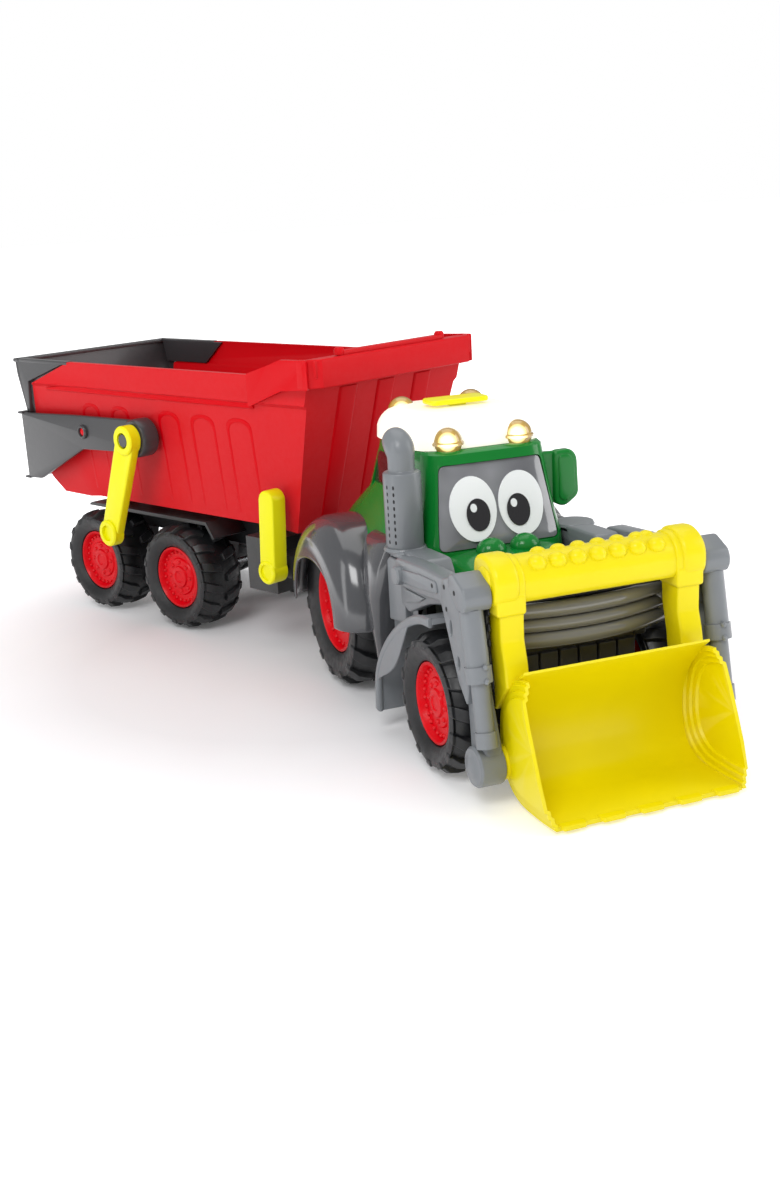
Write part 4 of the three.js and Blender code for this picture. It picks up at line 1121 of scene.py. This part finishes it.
def handle():
    """A bar with a capped neck at each end and two rows of bumps."""
    half = BEAM_HALF
    bar = plate("x", beam_section(0), (-half + 8, half - 8), 1)
    caps = both(plate("x", beam_section(2.4), (half - 13.5, half), 2.4))
    neck = rounded([(-218.5, 97), (-218.5, 108), (-196, 108), (-199.6, 97)], 2)
    caps += both(plate("x", neck, (half - 17, half - 1.2), 1.6))
    collars = both(plate("x", beam_section(1.0), (half - 17, half - 12), 1.4))
    boss = [(0, -1), (8.4, -1), (8.4, 0.2), (7.4, 1.1), (4.6, 1.3), (4.4, 0.4), (2, 0.4)]
    boss += [(1.6, 1.0), (0, 1.0)]
    bosses = both(lathe([(r, half + x) for r, x in boss], (BEAM_Y - 1, BEAM_Z + 0.5), steps=36))
    bumps = []
    for n in range(-3, 4):
        bumps.append(dome((n * 11.2, BEAM_Y - 7.2, BEAM_Z + 8.2), (5.0, 4.6, 4.4), 24, 8))
        bumps.append(dome((n * 11.2 + 5.6 * (n < 3), BEAM_Y + 2.6, BEAM_Z + 10.6), (4.4, 4.0, 3.2), 20, 6))
    return [bar, *caps, *collars, *bosses, *bumps]


piece("loader_handle", handle(), YELLOW, "bucket", replaces="handle_bar")

# ---- trailer box ----------------------------------------------------------------------------

RIM_Z, BAND_Z, FLOOR_Z = 190.0, 171.0, 88.0
RIM_HALF, FLOOR_HALF = 72.0, 62.0
SIDE_LEAN = (RIM_HALF - 2 - FLOOR_HALF) / (BAND_Z - FLOOR_Z)


def box_side(inset):
    """The tub seen from the side; an inset copy is the hollow, which runs out of the top and the rear."""
    i = inset
    if inset:
        rear = [(300, FLOOR_Z + i), (313, 97 + i), (320, 105), (360, 105), (360, 230)]
        return [(35 + i, FLOOR_Z + i), *rear, (-6.5 + i, 230)]
    rear = [(302, 87), (314, 96), (322.4, 104), (322, 150), (319, 171), (264, RIM_Z)]
    return [(35, 85.6), (60, FLOOR_Z), (255, FLOOR_Z), (268, 86.6), *rear, (4, RIM_Z)]


def box_face(inset):
    """The tub seen from the front."""
    i, top = inset, 230 if inset else RIM_Z
    low = FLOOR_Z + i if inset else 84
    half = RIM_HALF - i + (-0.6 if inset else 0.6)
    right = [(FLOOR_HALF - i, low), (RIM_HALF - 2 - i, BAND_Z - 1), (half, BAND_Z + 1.4), (half, top)]
    return [(-x, z) for x, z in right[::-1]] + right


def tub():
    def solid(inset):
        side = plate("x", box_side(inset), (-95, 95), 0.001)
        face = plate("y", box_face(inset), (-30, 370), 0.001)
        return carved(side, [face], "INTERSECT")

    return carved(solid(0), [solid(2.4)])


def leaning(bm, side):
    """Lays a plate drawn with x as its height onto the leaning side wall."""
    for v in bm.verts:
        v.co.x = side * (FLOOR_HALF + (v.co.z - FLOOR_Z) * SIDE_LEAN + v.co.x)
    bmesh.ops.recalc_face_normals(bm, faces=bm.faces)
    return bm


def arch_rib(y, wide, low, high):
    """The outline of a raised line in the shape of an arch."""
    line = 2.6
    middle, end, spring = y + wide / 2, y + wide, high - wide * 0.3
    outer = [(y, low), (y, spring), *curve_points((y, spring), (y, high), (middle, high), 5)]
    outer += [*curve_points((middle, high), (end, high), (end, spring), 5), (end, low)]
    inner = []
    for a, b in outer:
        drop = line if b > high - wide * 0.4 else 0
        inner.append((a + math.copysign(line, -1 if a >= middle else 1), b - drop))
    return outer + inner[::-1]


def front_wall_rib(x0, x1):
    """A shallow fold down the front wall."""
    rib = plate("z", rounded([(x0, 0.5), (x0 + 2, -1.1), (x1 - 2, -1.1), (x1, 0.5)], 1), (92, 181), 0.5)
    for v in rib.verts:
        v.co.y += 35 - (v.co.z - FLOOR_Z) * (31 / (RIM_Z - FLOOR_Z))
    return rib


def box_parts():
    parts = [tub()]
    for side in (-1, 1):
        for y, wide in ((66, 26), (104, 26), (142, 24), (200, 22), (236, 22)):
            parts.append(leaning(plate("x", arch_rib(y, wide, 94, 160), (-0.4, 0.4), 0.25), side))
        band_edge = [(60, -3.4), (60, 2), (262, 2), (300, -2), (300, -3.4)]
        band_edge = rounded([(y, BAND_Z + z) for y, z in band_edge], 1)
        parts.append(leaning(plate("x", band_edge, (-0.5, 1.3), 0.6), side))
    parts += [front_wall_rib(-44, -26), front_wall_rib(26, 44), front_wall_rib(-9, 9)]
    hinge_lug = rounded(rect((278, 294), (70, 89)), 3)
    parts += both(plate("x", hinge_lug, (10, 14), 0.5))
    return parts


def box_studs():
    y, z = local_place("tailgate_swing", TRAILER).yz
    right = lathe([(0, -64), (5, -64), (5, -92), (4.4, -92.8), (0, -92.8)], (y, z), steps=28)
    left = lathe([(0, 64), (5, 64), (5, 84.4), (4.4, 85), (0, 85)], (y, z), steps=28)
    return [right, left]


piece("tipper_tub", box_parts(), RED, "tipper", TRAILER, "tipper_box", bevel=0.9)
piece("tipper_studs", box_studs(), DARK_GREY, "tipper", TRAILER)

BOARD_HALF, BOARD_TOP = 78.0, 202.0
BOARD_BACK = 62.0


def board_side():
    """The board's end, turned back along the box and running down into its rim band."""
    outline = [(-1, 183.6), (-1, BOARD_TOP), (24, BOARD_TOP - 0.6), (38, BOARD_TOP - 5)]
    outline += [(BOARD_BACK, RIM_Z + 0.5), (BOARD_BACK, BAND_Z - 2), (24, 182)]
    inner = [(y + (1.2 if y < 30 else 0), z) for y, z in outline]
    near = RIM_HALF + 1.4
    rings = []
    for points, depth in ((outline, 0.0), (inner, 3.0)):
        ring = []
        for y, z in rounded(points, 1.2, 3):
            share = min(max((BOARD_BACK - y) / 42, 0), 1)
            ring.append((near + (BOARD_HALF - near) * share - depth, y, z))
        rings.append(ring)
    bm = loft(rings)
    bmesh.ops.subdivide_edges(bm, edges=bm.edges, cuts=1)
    return bm


def board():
    """The band across the front edge with a shelf, a bar and two knobs on it."""
    half, low, top = BOARD_HALF, 184.0, BOARD_TOP
    left = [(half - 9, -6.2), (half, 3), (half, 8), (half - 3.4, 8), (half - 3.4, 5), (half - 10, -2.4)]
    plan = left + [(-x, y) for x, y in left[::-1]]
    band = plate("z", plan, (low, top), 0.9)
    shelf = block((-half + 5, half - 5), (-4, 7.6), (RIM_Z + 0.4, top - 0.6), 0.6)
    bar = block((-46, 46), (-2.6, 4.6), (top - 1, top + 2.6), 0.7)
    knob = [(0, top), (3.3, top), (3.3, top + 3.4), (2.4, top + 4.8), (0, top + 5)]
    knobs = both(lathe(knob, (47, 1), "z", 24))
    return [band, shelf, bar, *knobs, *both(board_side())]


piece("tipper_front_board", board(), RED, "tipper", TRAILER, "front_board")

# ---- tailgate -------------------------------------------------------------------------------

GATE = local_place("tailgate_swing", TRAILER)
GATE_BACK = 329.0
GATE_EYE = (247, GATE.z - 1)


def gate_frame():
    """The arms from the studs to the rear, with their drums, and the ribbed lower panel between them."""
    y, z, back = GATE.y, GATE.z, GATE_BACK
    arm = [(y, -11.5), (y, 12), (262, 10.5), (back, 8), (back, -43), (back - 17, -42.4), (251, -14.5)]
    arm = rounded([(a, z + b) for a, b in arm], 1.5)
    drum = [(6, 71.4), (13.6, 71.4), (13.6, 82.2), (12.4, 84), (9.6, 84), (9, 82.6), (6, 82.6)]
    eye_ring = [(3, 76.4), (5.4, 76.4), (5.2, 78.6), (4.4, 79.4), (3.4, 79.4), (3, 78.4)]
    parts = both(plate("x", arm, (73.6, 77), 0.9)) + both(band(drum, (y, z)))
    parts += both(band(eye_ring, GATE_EYE, steps=28))
    parts.append(plate("y", rect((-76.6, 76.6), (z - 43, z + 8)), (back - 2.5, back), 0.7))
    for x in (-50, -25, 0, 25, 50):
        rib = rounded(rect((x - 2, x + 2), (z - 40, z + 6)), 1)
        parts.append(plate("y", rib, (back - 1, back + 1.6), 0.6))
    for low in (z - 43.6, z + 7):
        parts.append(block((-77.4, 77.4), (back - 2, back + 4.4), (low, low + 1.8), 0.6))
    return parts


def gate_panel():
    """The upper tailboard with its lip, and the wings that close the box's sides."""
    low, half, back = GATE.z + 8.4, RIM_HALF + 0.6, GATE_BACK
    wall = [(back + 7, RIM_Z), (back + 6, 178), (back - 2, low), (back - 5, low), (back + 2.6, 179)]
    wall.append((back + 3.6, RIM_Z))
    wing = [(266, RIM_Z), (back + 5, RIM_Z), (back - 3, low), (back - 5.8, low), (back - 8, 173)]
    liner = [(254, RIM_Z - 0.6), (back + 2, RIM_Z - 0.6), (back - 2, 172), (276, 172)]
    rail = rect((266, back + 6), (RIM_Z - 2.4, RIM_Z + 0.2))
    return [
        plate("x", wall, (-half, half), 0.7),
        block((-half - 0.4, half + 0.4), (back + 2, back + 8.5), (RIM_Z - 2.6, RIM_Z + 0.2), 0.7),
        *both(plate("x", wing, (half - 3, half), 0.6)),
        *both(plate("x", liner, (half - 5.6, half - 3.4), 0.5)),
        *both(plate("x", rail, (half - 5.4, half + 0.2), 0.5)),
    ]


piece("tailgate_lower", gate_frame(), DARK_GREY, "tailgate", TRAILER, "tailgate_frame", bevel=0.2)
piece("tailgate_upper", gate_panel(), DARK_GREY, "tailgate", TRAILER, "tailgate_panel")
eye_dots = both(dome((77.6, *GATE_EYE), (1.0, 3.0, 3.0), 20, 5))
piece("tailgate_eye_dots", eye_dots, HUB_RED, "tailgate", TRAILER)

# ---- levers ---------------------------------------------------------------------------------


def lever(top, bottom, top_r, bottom_r, xs, holes):
    """A flat bar with round ends, outlined by the two arcs and the sides that join them."""
    (y0, z0), (y1, z1) = top, bottom
    lean = math.degrees(math.atan2(z0 - z1, y0 - y1))
    outline = arc((y0, z0), top_r, lean - 90, lean + 90) + arc((y1, z1), bottom_r, lean + 90, lean + 270)
    return plate("x", outline, xs, 1.3, holes)


def tailgate_lever():
    top, bottom = (GATE.y, GATE.z), (GATE.y + 30, GATE.z - 70)
    bar = lever(top, bottom, 10.0, 8.8, (-84.6, -91.6), [ellipse(top, (5.6, 5.6), 24)])
    head = band([(5.6, -84.6), (10.4, -84.6), (10.4, -92.6), (9.4, -93.5), (5.6, -93.5)], top, steps=40)
    foot = [(0, -86), (5.8, -86), (5.8, -93.8), (8.6, -93.8), (9.7, -92.8), (9.7, -85.4)]
    foot += [(8.8, -84.6), (0, -84.6)]
    return [bar, head, lathe(foot, bottom, steps=40)]


LATCH = local_place("latch_turn", TRAILER)


def latch_lever():
    y, z = LATCH.y, LATCH.z
    bar = lever((y - 3.4, z + 48), (y, z), 7.0, 7.2, (-70, -82), [])
    foot = [(0, -77), (5.2, -77), (5.2, -83.2), (7.2, -83.2), (8.1, -82.2), (8.1, -70.8)]
    foot += [(7.4, -70), (0, -70)]
    return [bar, lathe(foot, (y, z), steps=40)]


piece("tailgate_hand_lever", tailgate_lever(), LIME, "tailgate", TRAILER, "tailgate_lever", bevel=0.3)
piece("latch_hand_lever", latch_lever(), LIME, "latch", TRAILER, "latch_lever", bevel=0.3)

# ---- parts kept from the CAD ----------------------------------------------------------------

for node in ("tractor_chassis", "hitch_pin", "battery_cover", "trailer_chassis", "latch_shaft"):
    dress(node, BLACK)
for node in ("battery_right", "battery_left", "speaker", "button_spring", "tip_hinge_pin"):
    dress(node, STEEL, 0.2)
dress("circuit_board", BOARD_GREEN, 0.2)

# ---- floor, light and camera ----------------------------------------------------------------


def floor():
    """A pale flat sheet that brightens away from the toy, so that it fades into the background."""
    reach, cells = 12.0, 24
    steps = [reach * (2 * k / cells - 1) for k in range(cells + 1)]
    mesh = as_mesh(loft([[(x, y, 0) for x in steps] for y in steps], cap=False, closed=False), "floor")
    n = Nodes("pale_floor")
    distance = n.add("ShaderNodeVectorMath")
    distance.operation = "LENGTH"
    n.set(distance.inputs[0], n.place)
    n.shade(
        Base_Color=n.mix(n.noise(3), rgb(0xE6E6E8), rgb(0xECECEE)),
        Roughness=n.spread(n.noise(40), 0.55, 0.65),
        Emission_Color=(1, 1, 1, 1),
        Emission_Strength=n.spread(distance.outputs["Value"], 0.05, 1.0, 0.16, 0.65),
    )
    mesh.materials.append(n.material)
    placed("floor", mesh)


def softbox(name, place, target, size, power):
    light = bpy.data.lights.new(name, "AREA")
    light.shape = "RECTANGLE"
    light.size, light.size_y = size
    light.energy = power
    obj = placed(name, light)
    obj.location = place
    obj.rotation_euler = (Vector(target) - Vector(place)).to_track_quat("-Z", "Y").to_euler()


def camera():
    """The photo's camera: its place in the tractor's frame, the way it turns, and its lens."""
    place = Vector((-339.4, -822.8, 299.3))
    turn, tilt, roll = map(math.radians, (-20.5, 15.83, -3.23))
    level = math.cos(tilt)
    back = Vector((math.sin(turn) * level, -math.cos(turn) * level, math.sin(tilt)))
    right = (-back).cross(Vector((0, 0, 1))).normalized()
    up = right.cross(-back)
    rolled_right = right * math.cos(roll) + up * math.sin(roll)
    rolled_up = up * math.cos(roll) - right * math.sin(roll)
    lens = bpy.data.cameras.new("camera")
    lens.lens = 43.2
    lens.sensor_width = 36
    lens.clip_start = 0.01
    obj = placed("camera", lens)
    facing = Matrix((rolled_right, rolled_up, back)).transposed().to_4x4()
    obj.matrix_world = Matrix.Translation(TRACTOR @ place) @ facing
    bpy.context.scene.camera = obj


def studio():
    """A white surround that lights the toy less than the camera sees it, and four soft lights."""
    scene = bpy.context.scene
    scene.world = bpy.data.worlds.new("studio")
    scene.world.use_nodes = True
    tree = scene.world.node_tree
    background = tree.nodes["Background"]
    background.inputs["Color"].default_value = (1, 1, 1, 1)
    seen = tree.nodes.new("ShaderNodeLightPath").outputs["Is Camera Ray"]
    strength = tree.nodes.new("ShaderNodeMapRange")
    strength.inputs["To Min"].default_value = 0.45
    strength.inputs["To Max"].default_value = 1.0
    tree.links.new(seen, strength.inputs["Value"])
    tree.links.new(strength.outputs["Result"], background.inputs["Strength"])
    softbox("key", (-1.1, -1.5, 1.9), (0, 0, 0.08), (1.0, 1.0), 27)
    softbox("top", (0.2, 0.4, 2.0), (0, 0, 0.1), (1.8, 1.8), 15)
    softbox("side", (1.8, -0.9, 0.9), (0, -0.05, 0.1), (0.9, 1.4), 13)
    softbox("strip", (-1.5, -0.35, 0.7), (0, -0.05, 0.12), (0.35, 1.5), 4.5)
    scene.view_settings.view_transform = "Standard"


floor()
camera()
studio()
